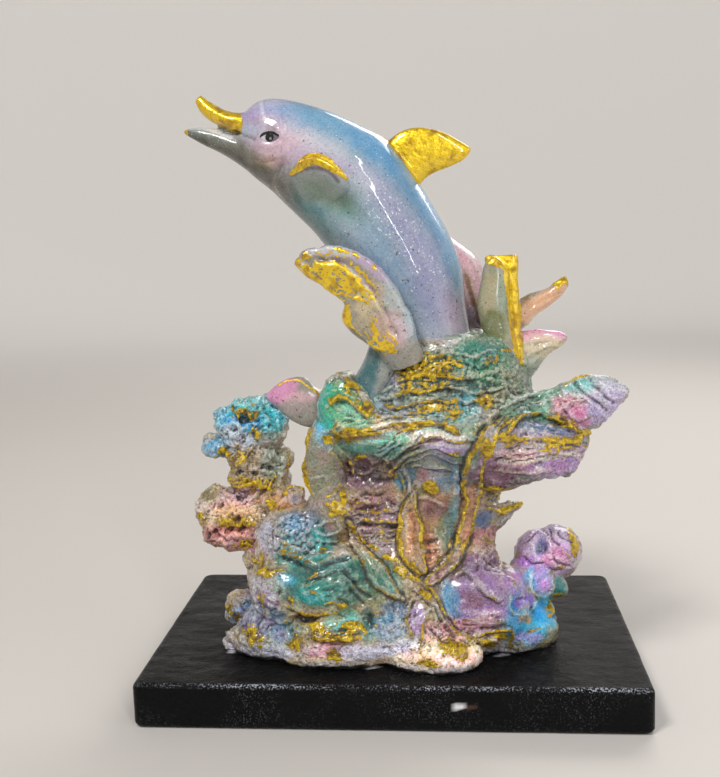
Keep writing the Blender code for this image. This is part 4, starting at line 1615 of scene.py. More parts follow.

# The first deep teal stroke, under the top lap, and the second, along the groove that runs down to the
# right, are painted shade in that fold and that groove.
ROCK_MARKS = """
laps:
8 1.6 | -60 55.4, -53 53.6, -46.7 50, -39 48.6, -34 50.4, -28 53, -22 54.4
7 2.6 | -45 8.6, -33 6.6, -20 6
6 1.8 | -58 24, -48 22, -38 21, -30 23, -26 20
ridges:
1.3 -0.8 | -60 53.6, -46.7 48, -39 46.6, -30 50, -22 52.6
1.2 -1.2 | -47 39.3, -42 40.6, -34.4 43.2, -28.1 45.8
1.4 -1.6 | -26.8 46.5, -22 42, -16.6 34.2, -10.5 30.4
1.2 -0.9 | -24 40, -20 33, -14 26
1.2 -0.7 | -32 36, -27 30, -21 25
0.9 0.8 1 | -36.1 27.6, -32.3 28.6, -28.6 28.3, -26.3 23.1
1.3 1 0.8 | -66.4 42.5, -61.8 45.1, -56.8 45.8
1.1 0.9 0.8 | -55 31, -53 26, -50 23
1.4 1.2 0.8 | -45 8, -33 6, -20 5.4
folds:
-30 38 24 10 14 12 3 1
-30 10 20 5 4 9 2.8 1.2
calm:
-34 36 28 14 0.75
-27 16 13 8 0.5
-10 0 90 13 0.6
knobs:
-50 64 20 16 3 1.1
-60 6 20 14 4.5 1
-36 2 24 8 3.4 0.9
-70 36 12 24 5 1
-30 0 60 12 3.6 1
-76 12 12 16 5.2 1.4
-27 31 10 9 2.6 0.4
hollows:
-47 18.6 9 3.6 3
-13 18 5 8 2.4
-43 31 9 8 -1.6
dabs:
turquoise -48 61 18 15 0.9 round
slate -50 74 12 6 0.7 round
sky -51.6 70 8 7 0.7
deep_teal -47 64 6 5 -40 0.5
aqua -44.6 55.8 11 5 0.95
pearl -66 64 8 12 1 round
teal -32 40 30 15 1 round
deep_teal -36 45.4 24 3.6 4 0.8
turquoise -43.5 31.5 10 8.6 1
cyan -45 29 6 5 0.4
green_grey -31 42 9 5 0.5
grey_teal -24 34 9 10 0.5
sky -56.4 40.6 6 4.6 0.9
deep_teal -55 34 6 6 0.6 round
rust -47.7 18.6 9 3.2 1
aqua -27 16 11 7 10 1
sea_green -26 21 8 4 0.6
cream -30 18 6 3 0.5
pearl -69 37 9 11 1 round
lilac -67 30 8 6 0.8
khaki -66 48 9 6 0.8 round
slate -70 18 16 10 0.9 round
lilac -74 14 9 8 0.6
sky -60.7 8.6 8 7 0.8
lilac -62 9 6 5 0.6
grey_teal -54 14 7 5 0.6
teal -14 12 4 8 0.6
rust -32 5.4 14 2 -6 0.8
rose -38 0 18 5 0.8 round
beige -50 2 10 6 0.6 round
pearl -70 -1 20 7 1 round
pearl -18 -1 16 6 0.9 round
strokes:
white 1.4 0.6 | -60 64, -54 60, -47 57, -40 55
deep_teal 1.4 1 | -60 54, -46.7 48.4, -39 47, -30 50.4, -22 53
deep_teal 1.2 0.8 | -26 46, -21 41, -15 33, -9 30
gold:
-40 11.6 6 4.6 1
-22 12.4 7 5 20 1
-32 8 14 2.4 -6 1
-31 -2 5 5 0.9
-53 4 6 6 0.75
-44 20 10 1.8 0.5
-27 25 4 3 -40 0.7
-54 28 2.6 4 0.7
-37 57 3 3 0.6
-66 45 9 2.6 16 0.9
-70.5 50 2.6 8 0.8
-77 8 5 7 0.8
-70 30 2 8 0.6
glazes:
-34 38 32 15 0.55 0.8 0.7
-58 14 28 16 0.8 0.9 0.78
-54 64 20 15 0.8 0.82 0.84
-66 44 10 12 0.85 0.8 0.7
"""

SHELL_MARKS = """
ridges:
1.5 0.9 1 | 92.3 68.9, 96.7 63.6, 98 58.3, 95.5 53
0.8 0.5 0.9 | 89 60, 92.5 55.5, 94 52
0.8 -0.8 | 84 69, 86 63, 90 60
0.8 -0.7 | 88 68, 91 64, 96 61
0.8 -0.8 | 69 60, 74 63, 78 67
0.8 -0.8 | 70 54, 75 50, 82 50
0.8 -0.8 | 86 56, 88 50, 95 49
0.8 -0.6 | 76 67, 80 69, 84 66
0.9 -0.8 | 84 47, 88 45, 92 46
0.9 1 | 74.4 46, 73.6 39, 76 33, 80 31.4, 84.5 33.5, 86.6 40, 85.4 46
0.9 1 | 63.4 33, 62.8 26, 66 22, 71 21.2, 75.6 25, 76.4 29
1.2 1.2 1 | 83 30.1, 85.5 26.1, 84.3 19.3
0.8 -0.7 | 66 30, 70 31.5, 74 29
calm:
82 54 24 24 0.8
76 22 16 18 0.6
knobs:
86 60 17 13 4.6 0.6
hollows:
80 58.6 5 6.6 2.6
81 40 4.6 6 1
67 39.4 6 5 -1.2
dabs:
lilac 83 57 21 18 1 round
rose 88 52 10 8 0.6
pearl 74 60 7 6 0.6
pearl 86 65 8 5 0.5
slate 80 58.4 4.2 6 0.7
violet 72 50 6 4 0.5
lilac 66.6 39.4 8 7 1 round
pink 67 41 5 4 0.5
lilac 80 39.6 7 8.4 1
pink 82 37 3.4 4 0.5
sky 75.6 40 2.6 7.6 0.9
teal 90 36 5.4 7 1 round
cyan 82 22 8 11 1 round
cyan 72 12 14 9 0.85 round
sky 65 15 5 8 0.9
blue 79 22 4 7 0.5
blue 65.8 28 3.2 5.6 1
violet 71.2 28.4 4.6 4.6 1
sky 70 22 7 1.6 0.8
peach 70.8 17.9 4 3.2 1
lilac 72 7.4 10 3 0.8
strokes:
white 0.7 0.8 | 74.4 45, 73.8 39, 76 33.6, 80 32
aqua 0.7 0.9 | 63.6 32, 63 26, 66 22.4, 71 21.8
gold:
96.6 60 3 9 10 0.9
84 25 2 7 1
76 11 5 1.6 20 0.6
68 55 2 2 0.6
71 17 2.6 1.6 0.8
88 32 4 1.4 30 0.8
"""

CORAL_MARKS = """
ridges:
1.7 1.8 0.8 | -82 136, -80 132, -75 134, -70 130, -68 135
2 1.4 0.9 | -72 124, -68 122, -70 119
1.4 1 0.5 | -88 114, -82 108, -76 104
1.8 -1.4 | -84 100, -74 101, -64 99
2 1.2 0.7 | -86 92, -74 94, -62 92
1.9 1.6 1 | -55 86, -53 91, -47 91, -43 86, -46 80, -54 80
2.2 1.2 0.8 | -92 74, -82 73, -74 72
1.8 -1.4 | -104 70, -92 65, -80 62
1.6 1.6 1 | -74 54, -70 49, -66 44, -60 42
1.6 -1 | -78 40, -72 38
folds:
-74 100 22 20 60 7 4.5 2
-88 74 28 18 40 7 5 2.2
-80 14 20 20 30 7 5 1.6
-76 128 22 16 50 7 5 1.8
knobs:
-78 60 60 110 6.4 1
-78 60 60 110 2.8 0.25
hollows:
-74 128 6 4 2.5
-66 104 4 3 2.5
-80 103 4 3 2
-49 86 4 3 1.6
-78 88 5 3 1.6
dabs:
cyan -74 130 24 14 0.95 round
sky -84 126 9 9 0.7 round
blue -74 128 12 5 0.6
aqua -72 137 16 5 0.8
pearl -82 121 9 7 0.9
pearl -72 119 9 4 0.7
turquoise -62 128 7 10 0.6
stone -64 116 9 8 0.8
sky -92 114 11 7 0.9 round
pearl -80 114 7 5 0.6
beige -74 102 20 10 0.9 round
green_grey -62 104 8 10 0.8
cream -80 96 9 7 0.6
peach -76 88 14 6 0.8
brown -78 90 9 4 0.6
pearl -92 80 20 11 0.8 round
lilac -84 86 12 7 0.6
rose -84 80 12 5 0.5
khaki -98 88 8 5 0.7 round
cream -82 78 14 5 0.7
rose -86 64 22 7 -12 0.9 round
mauve -80 62 14 4 -12 0.7
rose -80 69 16 4 0.7
peach -55 84 12 7 0.9 round
pearl -49 86 4 3.4 0.9
slate -64 70 10 6 0.7
pearl -68 66 6 5 0.6
lilac -70 36 9 12 0.95 round
slate -70 28 8 6 0.5
sky -80 22 14 9 0.8 round
lilac -76 18 12 6 0.7
beige -86 28 10 5 0.8 round
pearl -80 5 16 8 0.95 round
pearl -78 0 18 5 0.8 round
slate -72 8 8 5 0.5
gold:
-76 134 6 3 -10 0.9
-70 123 3 4 0.9
-88 112 4 3 0.9
-78 109 5 3 30 0.8
-74 95 14 3 0.9
-64 94 4 4 0.9
-84 104 3 5 0.5
-56 80 5 2.4 -20 0.9
-62 83 4 4 0.9
-82 74 11 4 0.85
-78 61 5 4 0.95
-101 75 4 4 0.6
-98 88 5 3 0.4
-70 48 3.6 6 24 0.95
-60 44 8 3 0.7
-88 24 3 4 0.7
-79 7 9 5 0.95
-84 20 3 3 0.6
-66 36 2 5 0.6
-80 132.6 2.4 2.4 0.9
-54 104 1.4 7 0.6
glazes:
-88 76 20 18 1.45 1.16 0.86
-74 130 24 14 1.02 1.22 1.22
-74 26 16 10 0.88 0.92 1.2
-76 2 16 8 1.4 1.4 1.45
"""


# What the wave and the reef share in carving and paint.
SEA_SETTINGS = {"press": 1.2, "crag": 0.45, "rough": 0.26, "rough_size": 4.2, "behind": 0.85, "grime": 1.0,
                "bloom": 0.16, "deepen": 1.14, "vivid": 1.75, "chalk": 0.6, "umber": 0.6, "soft": 1.6,
                "wrinkle": 0.12}


# The casting's sub-assemblies.


@dataclass
class CastPiece:
    """One carved piece of the casting."""

    name: str
    step: float
    plane: float
    ground: Tint
    foot: bool = False

    def forms(self) -> list[Form]:
        """The overlapping forms that the piece is fused from."""
        raise NotImplementedError

    def marks(self) -> Marks:
        """What is carved into the piece and painted on it."""
        raise NotImplementedError

    def finish_skin(self, skin_: Carving) -> None:
        """Lays what the marks can't give, such as sparkle for glittery flecks and painted glints."""

    def build(self, seat: Seat, material: bpy.types.Material) -> bpy.types.Object:
        """Fuses, carves, paints and dresses the piece.

        Args:
            seat: where the casting stands.
            material: its finish.

        Returns:
            The finished piece.
        """
        skin_ = fused(self.forms(), self.step, self.plane)
        marks = self.marks()
        marks.carve(skin_)
        marks.paint(skin_, self.ground)
        self.finish_skin(skin_)
        return seat.piece(self.name, skin_, material, marks, self.foot)


@dataclass
class Mother(CastPiece):
    """The large dolphin that leaps up to the left with its mouth open."""

    name: str = "mother_dolphin"
    step: float = 0.9
    plane: float = -25.0
    ground: Tint = Tint.GREY_TEAL
    depth: float = -5.0
    eye: Row = (-59.2, 275.4)
    eye_half: Row = (5.2, 2.9)
    half_head: float = 21.0
    far_eye_share: float = 1.02

    def forms(self) -> list[Form]:
        """Body, jaws, dorsal fin and the two flippers."""
        body = listed("""-77 287 -80 270 7, -74 291.5 -77 262 12.5, -67 296 -71 255.5 18,
            -58 297 -63 249 21.5, -45 294.5 -56 242 24, -30 289.5 -49 235 26, -14 282 -41 227 27.5,
            1 273 -35 219.5 28.5, 14 256 -28 210 29, 25 238 -21 199 28.5, 34 221.5 -15 186 28,
            40 204 -10 174 27.5, 42 185 -5 160 27, 45 165 -2 146 26, 47 145 2 130 24""")
        lower_jaw = listed("""-109 282 -109 280 1, -104 283 -105 277.5 4, -96 283 -98 273.5 6,
            -88 281.5 -90 269.5 7.5, -80 279.5 -82 264.5 10, -70 278 -72 257 13""")
        upper_beak = listed("""-99.2 300 -102.2 296.4 2.2, -96 298 -99.6 291.4 4, -92 295.3 -94.8 286.6 6,
            -86.5 292.2 -88.4 283 7.6, -81 290.6 -82.4 280 9, -75 290.4 -76.4 278 10.6,
            -68 291 -70 278 12""")
        dorsal = listed("""-4 268 14 243 6, 7 277 20 251.5 5, 18 279.5 25 255 4.2, 30 277 33 258 3.4,
            40 271.5 41 261.5 2.4, 45.5 268 45 265.5 1""")
        near_flipper = listed("""-49 -25 257 -44 -16 238 4.5, -42.5 -34 262 -36 -20 236 4,
            -34 -41 263.5 -27 -25 238 3.6, -25.5 -45 260 -21 -37 243 3.2, -17.5 -47 254 -16 -43 247 1.5""")
        far_flipper = listed("""-46 12 256 -44 12 240 5, -41 22 256 -35 22 238 4,
            -35 30 250 -30 30 234 3.4, -31 37 242 -28 36 232 2.6, -29 42 234 -27 41 230 1.2""")
        flat = [flat_skin(rows, self.depth) for rows in (body, lower_jaw, upper_beak, dorsal)]
        return [*flat, skin(near_flipper), skin(far_flipper)]

    def marks(self) -> Marks:
        """Head, eye and mouth lines, and the coloured bands along the body."""
        return Marks.read(
            MOTHER_MARKS,
            rough=0.10, rough_size=14.0, back_folds=0.0, grime=0.8, paint_run=2.0, soft=3.4,
            uneven=0.2, vivid=1.08, deepen=1.34)

    def finish_skin(self, skin_: Carving) -> None:
        """Gilds the beak, the dorsal fin and the flippers' edges by where they are, and lays sparkle along
        the
        flank: glittery flecks and painted glints."""
        x, z = skin_.points[:, 0], skin_.points[:, 2]
        wander = cloud(skin_.points, 8.0, 3, 9)
        beak = ease(-74.2, -75.2, x + 0.06 * (z - 284) ** 2 + 0.3 * wander)
        beak *= ease(-0.3, 0.7, z - 279 + 0.44 * (x + 80))
        line = smooth_rows([(-14, 284.5), (-4, 270.5), (5, 261.5), (12, 251), (17, 238), (22, 230)], 8)
        back = np.interp(x, line[:, 0], line[:, 1])
        dorsal = ease(-0.8, 0.8, z - back - 1.2 + 0.5 * wander) * ease(-6, -3, x)
        dorsal = dorsal * ease(7.5, 5.5, np.abs(skin_.points[:, 1] - self.depth)) * ease(248.5, 250.5, z)
        distance, _, _ = from_route(skin_.seen, [(-48.5, 256.5), (-42.5, 261.5), (-36, 263.6), (-29, 261),
                                                 (-23, 256.5), (-19.5, 253)], 8)
        broad = 0.9 + 2.0 * ease(-49, -40, skin_.seen[:, 0]) * ease(-18, -30, skin_.seen[:, 0])
        flipper = ease(0.5, -0.3, distance - broad + 0.4 * wander) * (skin_.points[:, 1] < -25)
        far = ease(26, 29, skin_.points[:, 1]) * (x < -20) * ease(-0.4, 0.4, x + 29 + wander)
        tip = ease(-104.5, -107.5, x)
        skin_.gild(np.maximum.reduce([np.clip(beak, 0, 1), dorsal, flipper, 0.8 * far, 0.7 * tip]))
        flank = Oval(7, 229, 50, 14, -54).inside(skin_.wander(10, 3, 61))
        skin_.sparkle = 0.15 + 0.6 * ease(0.0, 0.5, flank + 0.3 * cloud(skin_.points, 7, 3, 77))

    def build_eye(self, seat: Seat, on: bpy.types.Object, side: float) -> bpy.types.Object:
        """A painted eye let into its socket: an almond-shaped grid, its height a dome of 1 - r^2, laid on
        the head along the line of depth and closed by its own flat back.

        Args:
            seat: where the casting stands.
            on: the finished head.
            side: -1 for the near side and 1 for the far one.

        Returns:
            The eye.
        """
        around, rings = 48, 14
        angle = np.arange(around) * 2 * math.pi / around
        r = np.linspace(0.04, 1, rings)[:, None]
        almond_x = self.eye_half[0] * r * np.cos(angle)
        almond_z = self.eye_half[1] * r * np.sin(angle) * (1 - 0.25 * np.abs(np.cos(angle)) ** 3) + 0.5 * r
        to_face = (self.depth - self.half_head - VIEW_POINT[1]) / (self.plane - VIEW_POINT[1])
        share = to_face if side < 0 else self.far_eye_share
        x0, z0 = (view + (drawn - view) * share for view, drawn in zip(VIEW_POINT[::2], self.eye))
        x, z = (x0 + almond_x).ravel(), (z0 + almond_z).ravel()
        mesh = on.data
        tree = BVHTree.FromPolygons([vertex.co for vertex in mesh.vertices],
                                    [tuple(face.vertices) for face in mesh.polygons])
        places = seat.place(np.stack([x, np.full(len(x), 60.0 * side), z], axis=1))
        ahead = Vector((0.0, -side, 0.0))
        found = [tree.ray_cast(Vector(place), ahead)[0] for place in places]
        y = np.array([hit.y if hit else places[0, 1] for hit in found])
        dome = (0.0005 * (1 - r ** 2) + 0.00016 * np.ones_like(angle)).ravel() * seat.share / 0.001
        outer = np.stack([places[:, 0], y + side * dome, places[:, 2]], axis=1)
        back, deep = np.array([0, side * 0.0012, 0]), np.array([0, side * 0.002, 0])
        points = np.vstack([outer, outer[-around:] - back, outer[:around].mean(axis=0),
                            outer.mean(axis=0) - deep])
        faces = tube_faces(rings + 1, around)
        obj = sheet("eye_near" if side < 0 else "eye_far", points, faces)
        turned_out(obj)
        flat = np.stack([x - x0, z - z0], axis=1)
        flat = np.vstack([flat, flat[-around:], (0, 0), (9, 9)])
        seat_of = obj.data.attributes.new("eye_place", "FLOAT_VECTOR", "POINT")
        seat_of.data.foreach_set("vector", np.hstack([flat, np.zeros((len(flat), 1))]).ravel())
        dressed(obj, EyePaint().material())
        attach(obj, "root")
        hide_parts("dolphin_cast")
        return obj


@dataclass(frozen=True)
class EyePaint:
    """A painted eye: a dark lid line above, a dark iris with a paler painted highlight in it, and the white
    of the eye.
    """

    name: str = "eye_paint"
    iris: float = 2.3
    corner: Row = (0.16, 0.14, 0.19)
    white: Row = (0.62, 0.60, 0.68)
    lid: Row = (0.006, 0.006, 0.008)
    dark: Row = (0.008, 0.008, 0.011)
    heart: Row = (0.26, 0.27, 0.32)
    iris_highlight_place: Row = (0.5, -0.7, 0.0)

    def material(self) -> bpy.types.Material:
        """Rings by distance from the iris, read from the point attribute eye_place in drawn units."""
        net = NodeTable(self.name)
        place = net.attribute("eye_place", "Vector")
        x, z, _ = net.parts(place)
        reach = net.node("ShaderNodeVectorMath", operation="LENGTH")
        net.put(reach.inputs[0], place)
        iris = net.step(reach.outputs["Value"], self.iris + 0.15, self.iris - 0.15)
        bow = net.sum("MULTIPLY", net.sum("MULTIPLY", x, x), 0.075)
        lid = net.step(net.sum("ADD", z, bow), 1.5, 1.9)
        colour = net.blend(net.step(x, 1.2, -3.4), self.corner, self.white)
        colour = net.blend(lid, colour, self.lid)
        colour = net.blend(iris, colour, self.dark)
        catch = net.node("ShaderNodeVectorMath", operation="DISTANCE")
        net.put(catch.inputs[0], place)
        catch.inputs[1].default_value = self.iris_highlight_place
        # A paler spot in the iris: a painted highlight.
        colour = net.blend(net.step(catch.outputs["Value"], 0.9, 0.4), colour, self.heart)
        net.surface("Base Color", colour)
        net.surface("Roughness", 0.2)
        net.surface("Coat Weight", 1.0)
        return net.material


@dataclass
class Calf(CastPiece):
    """The small dolphin that leaps behind; only its pink back shows from the front."""

    name: str = "calf"
    step: float = 0.9
    plane: float = -36.0
    ground: Tint = Tint.ROSE
    depth: float = 26.0

    def forms(self) -> list[Form]:
        """Body, beak, dorsal fin and flipper."""
        body = listed("""-27 247 -28 243 3, -22 252 -28 238 7, -12 253.5 -24 231 11, 1 247 -18 223 13,
            13 238 -10 216 14, 26 227.5 -1 209 14.5, 38 218 6 203 15, 49 209 14 194 15, 55 194 20 182 14.5,
            57 176 24 166 14, 58 150 26 146 13""")
        beak = listed("""-42 247 -42 244 1.5, -35 249 -35 242 4, -27 249.5 -28 239 6, -20 249 -22 236 8""")
        dorsal = listed("""-4 246 10 236 4, 4 252 12 243 3, 10 254.5 14 249 2.2, 15 253.5 15.5 251 1""")
        flipper = listed("""-8 36 236 -4 38 224 3.5, -12 44 232 -6 45 220 3, -14 50 224 -9 50 216 2.2,
            -14 53 218 -12 53 214 1""")
        return [*(flat_skin(rows, self.depth) for rows in (body, beak, dorsal)), skin(flipper)]

    def marks(self) -> Marks:
        """Pink above and lilac below, with a gilded crease by the tails."""
        return Marks.read(
            CALF_MARKS,
            rough=0.16, rough_size=9.0, back_folds=0.0, grime=0.7, vivid=1.15, deepen=1.1)

    def finish_skin(self, skin_: Carving) -> None:
        """Gilds the beak, the dorsal fin and the flipper, and lays sparkle all over: glittery flecks and
        painted glints.
        """
        x, y, z = skin_.points.T
        wander = cloud(skin_.points, 6.0, 3, 9)
        beak = ease(-27.5, -30, x + 0.6 * wander)
        dorsal = ease(-0.6, 0.6, z - (247.5 - 0.62 * (x - 1)) + 0.4 * wander) * ease(-2, 0, x) * (x < 17)
        flipper = ease(44, 48, y + wander)
        skin_.gild(np.maximum.reduce([beak, dorsal * (np.abs(y - self.depth) < 7), flipper]))
        skin_.sparkle = np.full(len(x), 0.8)


@dataclass
class Tails(CastPiece):
    """The diving dolphins' tails: a fluke and its stock on the left, standing lobes on the right."""

    name: str = "diving_tails"
    step: float = 0.85
    plane: float = -36.0
    ground: Tint = Tint.STONE
    stock_depth: float = -22.0

    def forms(self) -> list[Form]:
        """Each lobe is a blade between two edge curves."""
        fluke = listed("""20 -36 160 0 -30 154 6, 16 -39 171 -4 -35 162 5.5, 12.5 -40 182 -11 -35 168 5.2,
            8 -40 192 -18 -34.5 173.5 5, 2.5 -39.5 200 -22 -34 180 4.8, -5 -38.5 208 -21.5 -34 188 4.6,
            -14 -37 214 -27 -34 193.5 4.2, -25 -35.5 217.5 -34 -34 199 3.8, -36 -34 217 -41 -34 203 3,
            -43 -34 214.5 -45 -34 207 2, -46.5 -34 211.5 -47 -34 209.5 0.8""")
        stock = listed("""18 174 -8 172 10, 14 162 -12 160 12, 8 152 -16 152 13, 3 142 -22 143 14,
            -1 130 -29 133 14""")
        standing = listed("""50 -12 150 71 -12 150 8, 52 -14 165 68 -14 164 7, 49 -14 177 66 -14 177 6.5,
            48 -14 187 65 -14 187 6, 50 -13 197 65 -13 197 5.2, 51 -12 204 64 -12 204 4.8,
            53 -12 208 61 -12 208.5 4, 55.5 -12 210.3 59 -12 210.5 2""")
        band = listed("""68 -11 150 75 -12 152 3, 65 -9 168 71 -9 168 3.4, 63 -8 186 70.5 -8 186 3.4,
            56 -7 198 70 -7 198 3.4, 53 -5 204 70.5 -5 205 3, 52.5 -4 210.5 70 -4 211 2.4""")
        right = listed("""60 2 188 62 2 162 8, 71 5 186 75 5 171 6, 79 6 189.5 81 6 177 5.2,
            87 6 192 88 6 182 4.6, 93 6 196.5 94.5 6 187.5 3.8, 97 6 198.5 98.5 6 193 2""")
        pink = listed("""62 -2 170 60 -2 134 12, 72 -4 169.5 73 -4 140 9, 80 -4 170 81 -4 149 7,
            88 -4 169.5 87 -4 157 5, 94 -4 168.5 93 -4 161 3.5, 97 -4 166.5 96.5 -4 164 1.5""")
        pink_fin = listed("""-28 -10 140 -32 -12 112 7, -38 -16 140.5 -41 -17 118.5 6,
            -46 -18 147.5 -50 -18 121.5 5, -56 -18 147 -57 -18 126 4.2, -64 -18 142 -62 -18 131 3,
            -68 -18 138 -67 -18 135.5 1""")
        return [skin(fluke), flat_skin(stock, self.stock_depth), skin(standing), skin(band, square=4.0),
                skin(right), skin(pink), skin(pink_fin)]

    def marks(self) -> Marks:
        """Brushed gold on the fluke, gilded edges on the standing lobes."""
        return Marks.read(
            TAIL_MARKS,
            rough=0.2, rough_size=8.0, back_folds=0.3, grime=0.85, paint_run=1.8, uneven=0.15,
            vivid=1.2, deepen=1.1)

    def finish_skin(self, skin_: Carving) -> None:
        """Gilds the band behind the standing lobe by where it lies."""
        x, y, z = skin_.points.T
        edge = np.interp(z, [150, 168, 186, 197, 204, 208], [69, 65.5, 64, 62.5, 62, 50])
        band = ease(-1.2, 0.8, x - edge + 0.7 * cloud(skin_.points, 5, 3, 8))
        band = band * (x < 78) * (y < 1) * (z > 151)
        top = (z > 200) * (y > -6.5) * (x > 40) * (x < 72)
        skin_.gild(np.maximum(band * ease(74, 70.5, x), top))


@dataclass
class Wave(CastPiece):
    """The cresting wave round the tails: its top, its ledge, the curl on the left and the wings."""

    name: str = "wave"
    step: float = 0.8
    plane: float = -38.0
    ground: Tint = Tint.GREEN_GREY

    def forms(self) -> list[Form]:
        """The crest as a column, and each curl or wing as a blade."""
        crest = listed("""90 20 -4 42 33, 96 21 -5 48 38.5, 104 22 -6 52 42, 113 24 -7 56 45,
            121 26 -8 59 47, 128 24 -7 56 44, 138 28 -5 50 41, 148 32 -1 45 43, 158 34 1 38 42,
            166 35 2 33 40, 170 36 3 28 37""")
        wing = listed("""66 -10 136 66 -10 104 12, 78 -10 136 80 -12 107 10, 88 -10 137.5 90 -12 110 8,
            97 -10 142 100 -12 113.5 7, 107 -10 145 109 -12 116 6, 118 -10 144.5 117 -11 121 5,
            126 -10 141 124 -10 129 3.5, 130 -10 137.5 129 -10 134.5 1.5""")
        breaker = listed("""52 -26 124 52 -22 84 16, 66 -30 124 66 -26 88 14, 80 -30 122.5 78 -26 92.5 12,
            92 -27 121 90 -25 93 9, 101 -25 120 97 -24 95 6.5, 107 -24 118 102 -24 103 3.5""")
        curl = listed("""-30 -24 144 -32 -24 116 9, -22 -34 150 -35 -31 128 6, -12 -39 144 -29 -37 120 5,
            -5 -43 132 -18 -42 116 5, 4 -46 124 -4 -46 114 4""")
        curl_back = listed("""-20 -18 150 -24 -18 118 10, -29 -28 148 -34 -27 120 6,
            -33 -33 139 -34 -32 123 4""")
        pod = listed("""-38 -20 125 -24 -20 125 5, -44.5 -27 117 -24 -27 121 6, -46 -29 107 -22 -28 110 6,
            -46.5 -29 97 -22 -29 99 6.5, -44 -29 87 -24 -29 88 6.5, -39 -28 81.5 -28 -28 82 3""")
        blades = [skin(rows) for rows in (wing, breaker, curl, curl_back, pod)]
        return [column(crest, lobes=0.02), *blades]

    def marks(self) -> Marks:
        """Layered water: level laps on the crest, the gilded lobes on the left, the breaker on the right."""
        return Marks.read(WAVE_MARKS + LEDGE_MARKS, melt=14, crag_size=13.0, pits=0.4, back_folds=3.0,
                          ridge_gold=0.6, **SEA_SETTINGS)

    def finish_skin(self, skin_: Carving) -> None:
        """Gilds the pod's outer edge by where it lies."""
        x, _, z = skin_.points.T
        edge = np.interp(z, [84, 90, 97, 107, 117, 122], [-40.5, -43, -44.8, -44.6, -43, -40])
        rim = ease(0.5, -0.7, x - edge + 0.5 * cloud(skin_.points, 5, 3, 8)) * (z > 84) * (z < 121)
        skin_.gild(0.95 * rim)


@dataclass
class Trunk:
    """The upright mass under the wave, with its leaf fin and the rocks at its foot."""

    def forms(self) -> list[Form]:
        """The trunk as a column, and the fin and the rocks on it."""
        trunk = listed("""-6 -2 -8 82 48, 8 -2 -9 76 50, 24 1 -10 62 51, 42 3 -9 52 48, 58 7 -7 48 43,
            74 11 -4 46 39, 90 13 -3 49 39, 104 15 -3 50 40, 118 20 -3 52 42""")
        leaf = listed("""50 -22 76 48 -20 58 8, 58 -20 76 58 -19 62 5, 65 -18 77 66 -18 69 3,
            72 -18 77 71 -18 73.5 1.4""")
        rocks = listed("""-30 -32 78 15 13 14, 8 -48 16 30 17 22, 24 -56 4 26 15 14, 46 -36 24 28 22 24,
            44 -28 50 13 16 14, 38 22 10 42 24 22, -34 18 8 38 26 20, -18 24 32 30 18 24,
            28 26 44 22 14 22""")
        return [column(trunk, lobes=0.03), skin(leaf),
                *(lump(row[:3], row[3:], 0.1) for row in rocks)]


@dataclass
class LeftReef:
    """The turquoise rocks at the front left."""

    def forms(self) -> list[Form]:
        """Rounded rocks."""
        rocks = listed("""-52 -28 60 23 20 21, -52 -34 34 25 24 22, -30 -44 40 24 20 20,
            -28 -50 12 34 18 20, -62 -36 8 26 20 18""")
        return [lump(row[:3], row[3:], 0.12) for row in rocks]


@dataclass
class LeftCoral(CastPiece):
    """The coral tower on the left."""

    name: str = "left_coral"
    step: float = 0.7
    plane: float = -42.0
    ground: Tint = Tint.BEIGE
    foot: bool = True

    def forms(self) -> list[Form]:
        """Knobs piled on a thin stem."""
        knobs = listed("""-77 -14 121 20 16 15, -97 -14 109 8 8 7.5, -76 -14 103 17 14 10,
            -74 -14 92 17 13 11, -59 -15 102 4.5 5 5, -94.5 -18 72 14 13 13.5, -95 -18 61 10 10 8.5,
            -84 -18 62 15 13 13, -74 -18 74 18 14 14, -60 -25 79 12 11 10, -70 -22 48 12 12 12,
            -71 -24 34 9 9 12, -83 -26 19 11 11 9, -82 -32 2 13 13 9""")
        return [lump(row[:3], row[3:], 0.2) for row in knobs]

    def marks(self) -> Marks:
        """A cyan head with gold knots, a pitted neck, a cream arm, the gilded ring and the lilac foot."""
        return Marks.read(
            CORAL_MARKS,
            melt=8, crag=0.7, crag_size=11.0, rough=0.26, rough_size=3.6, pits=0.35, back_folds=0.8,
            behind=0.7, ridge_gold=0.5, grime=1.0, paint_run=2.0, bloom=0.1, deepen=1.08, vivid=1.62,
            chalk=0.35, umber=0.4, soft=1.4, wrinkle=0.1)


@dataclass
class RightCoral:
    """The brain coral on the right, with the shells and the cyan stem under it."""

    def forms(self) -> list[Form]:
        """The brain coral, three shells and the stem."""
        heads = listed("""90 -6 45 15 14 14.5 0.06, 80 -6 45 12 13 13 0.06, 74 -12 31 13 13 12 0.06,
            82 -8 30 13 13 12 0.06, 82 -17 30.5 7.5 7 8.4 0.02, 71 -25 21 8 8 7.4 0.02,
            93 -8 24.5 5 5 5.4 0.02, 77 -12 8 13 14 12 0.1, 66 -24 8 24 22 16 0.08,
            64 -24 34 8 9 8 0.06""")
        return [lump(row[:3], row[3:6], row[6]) for row in heads]


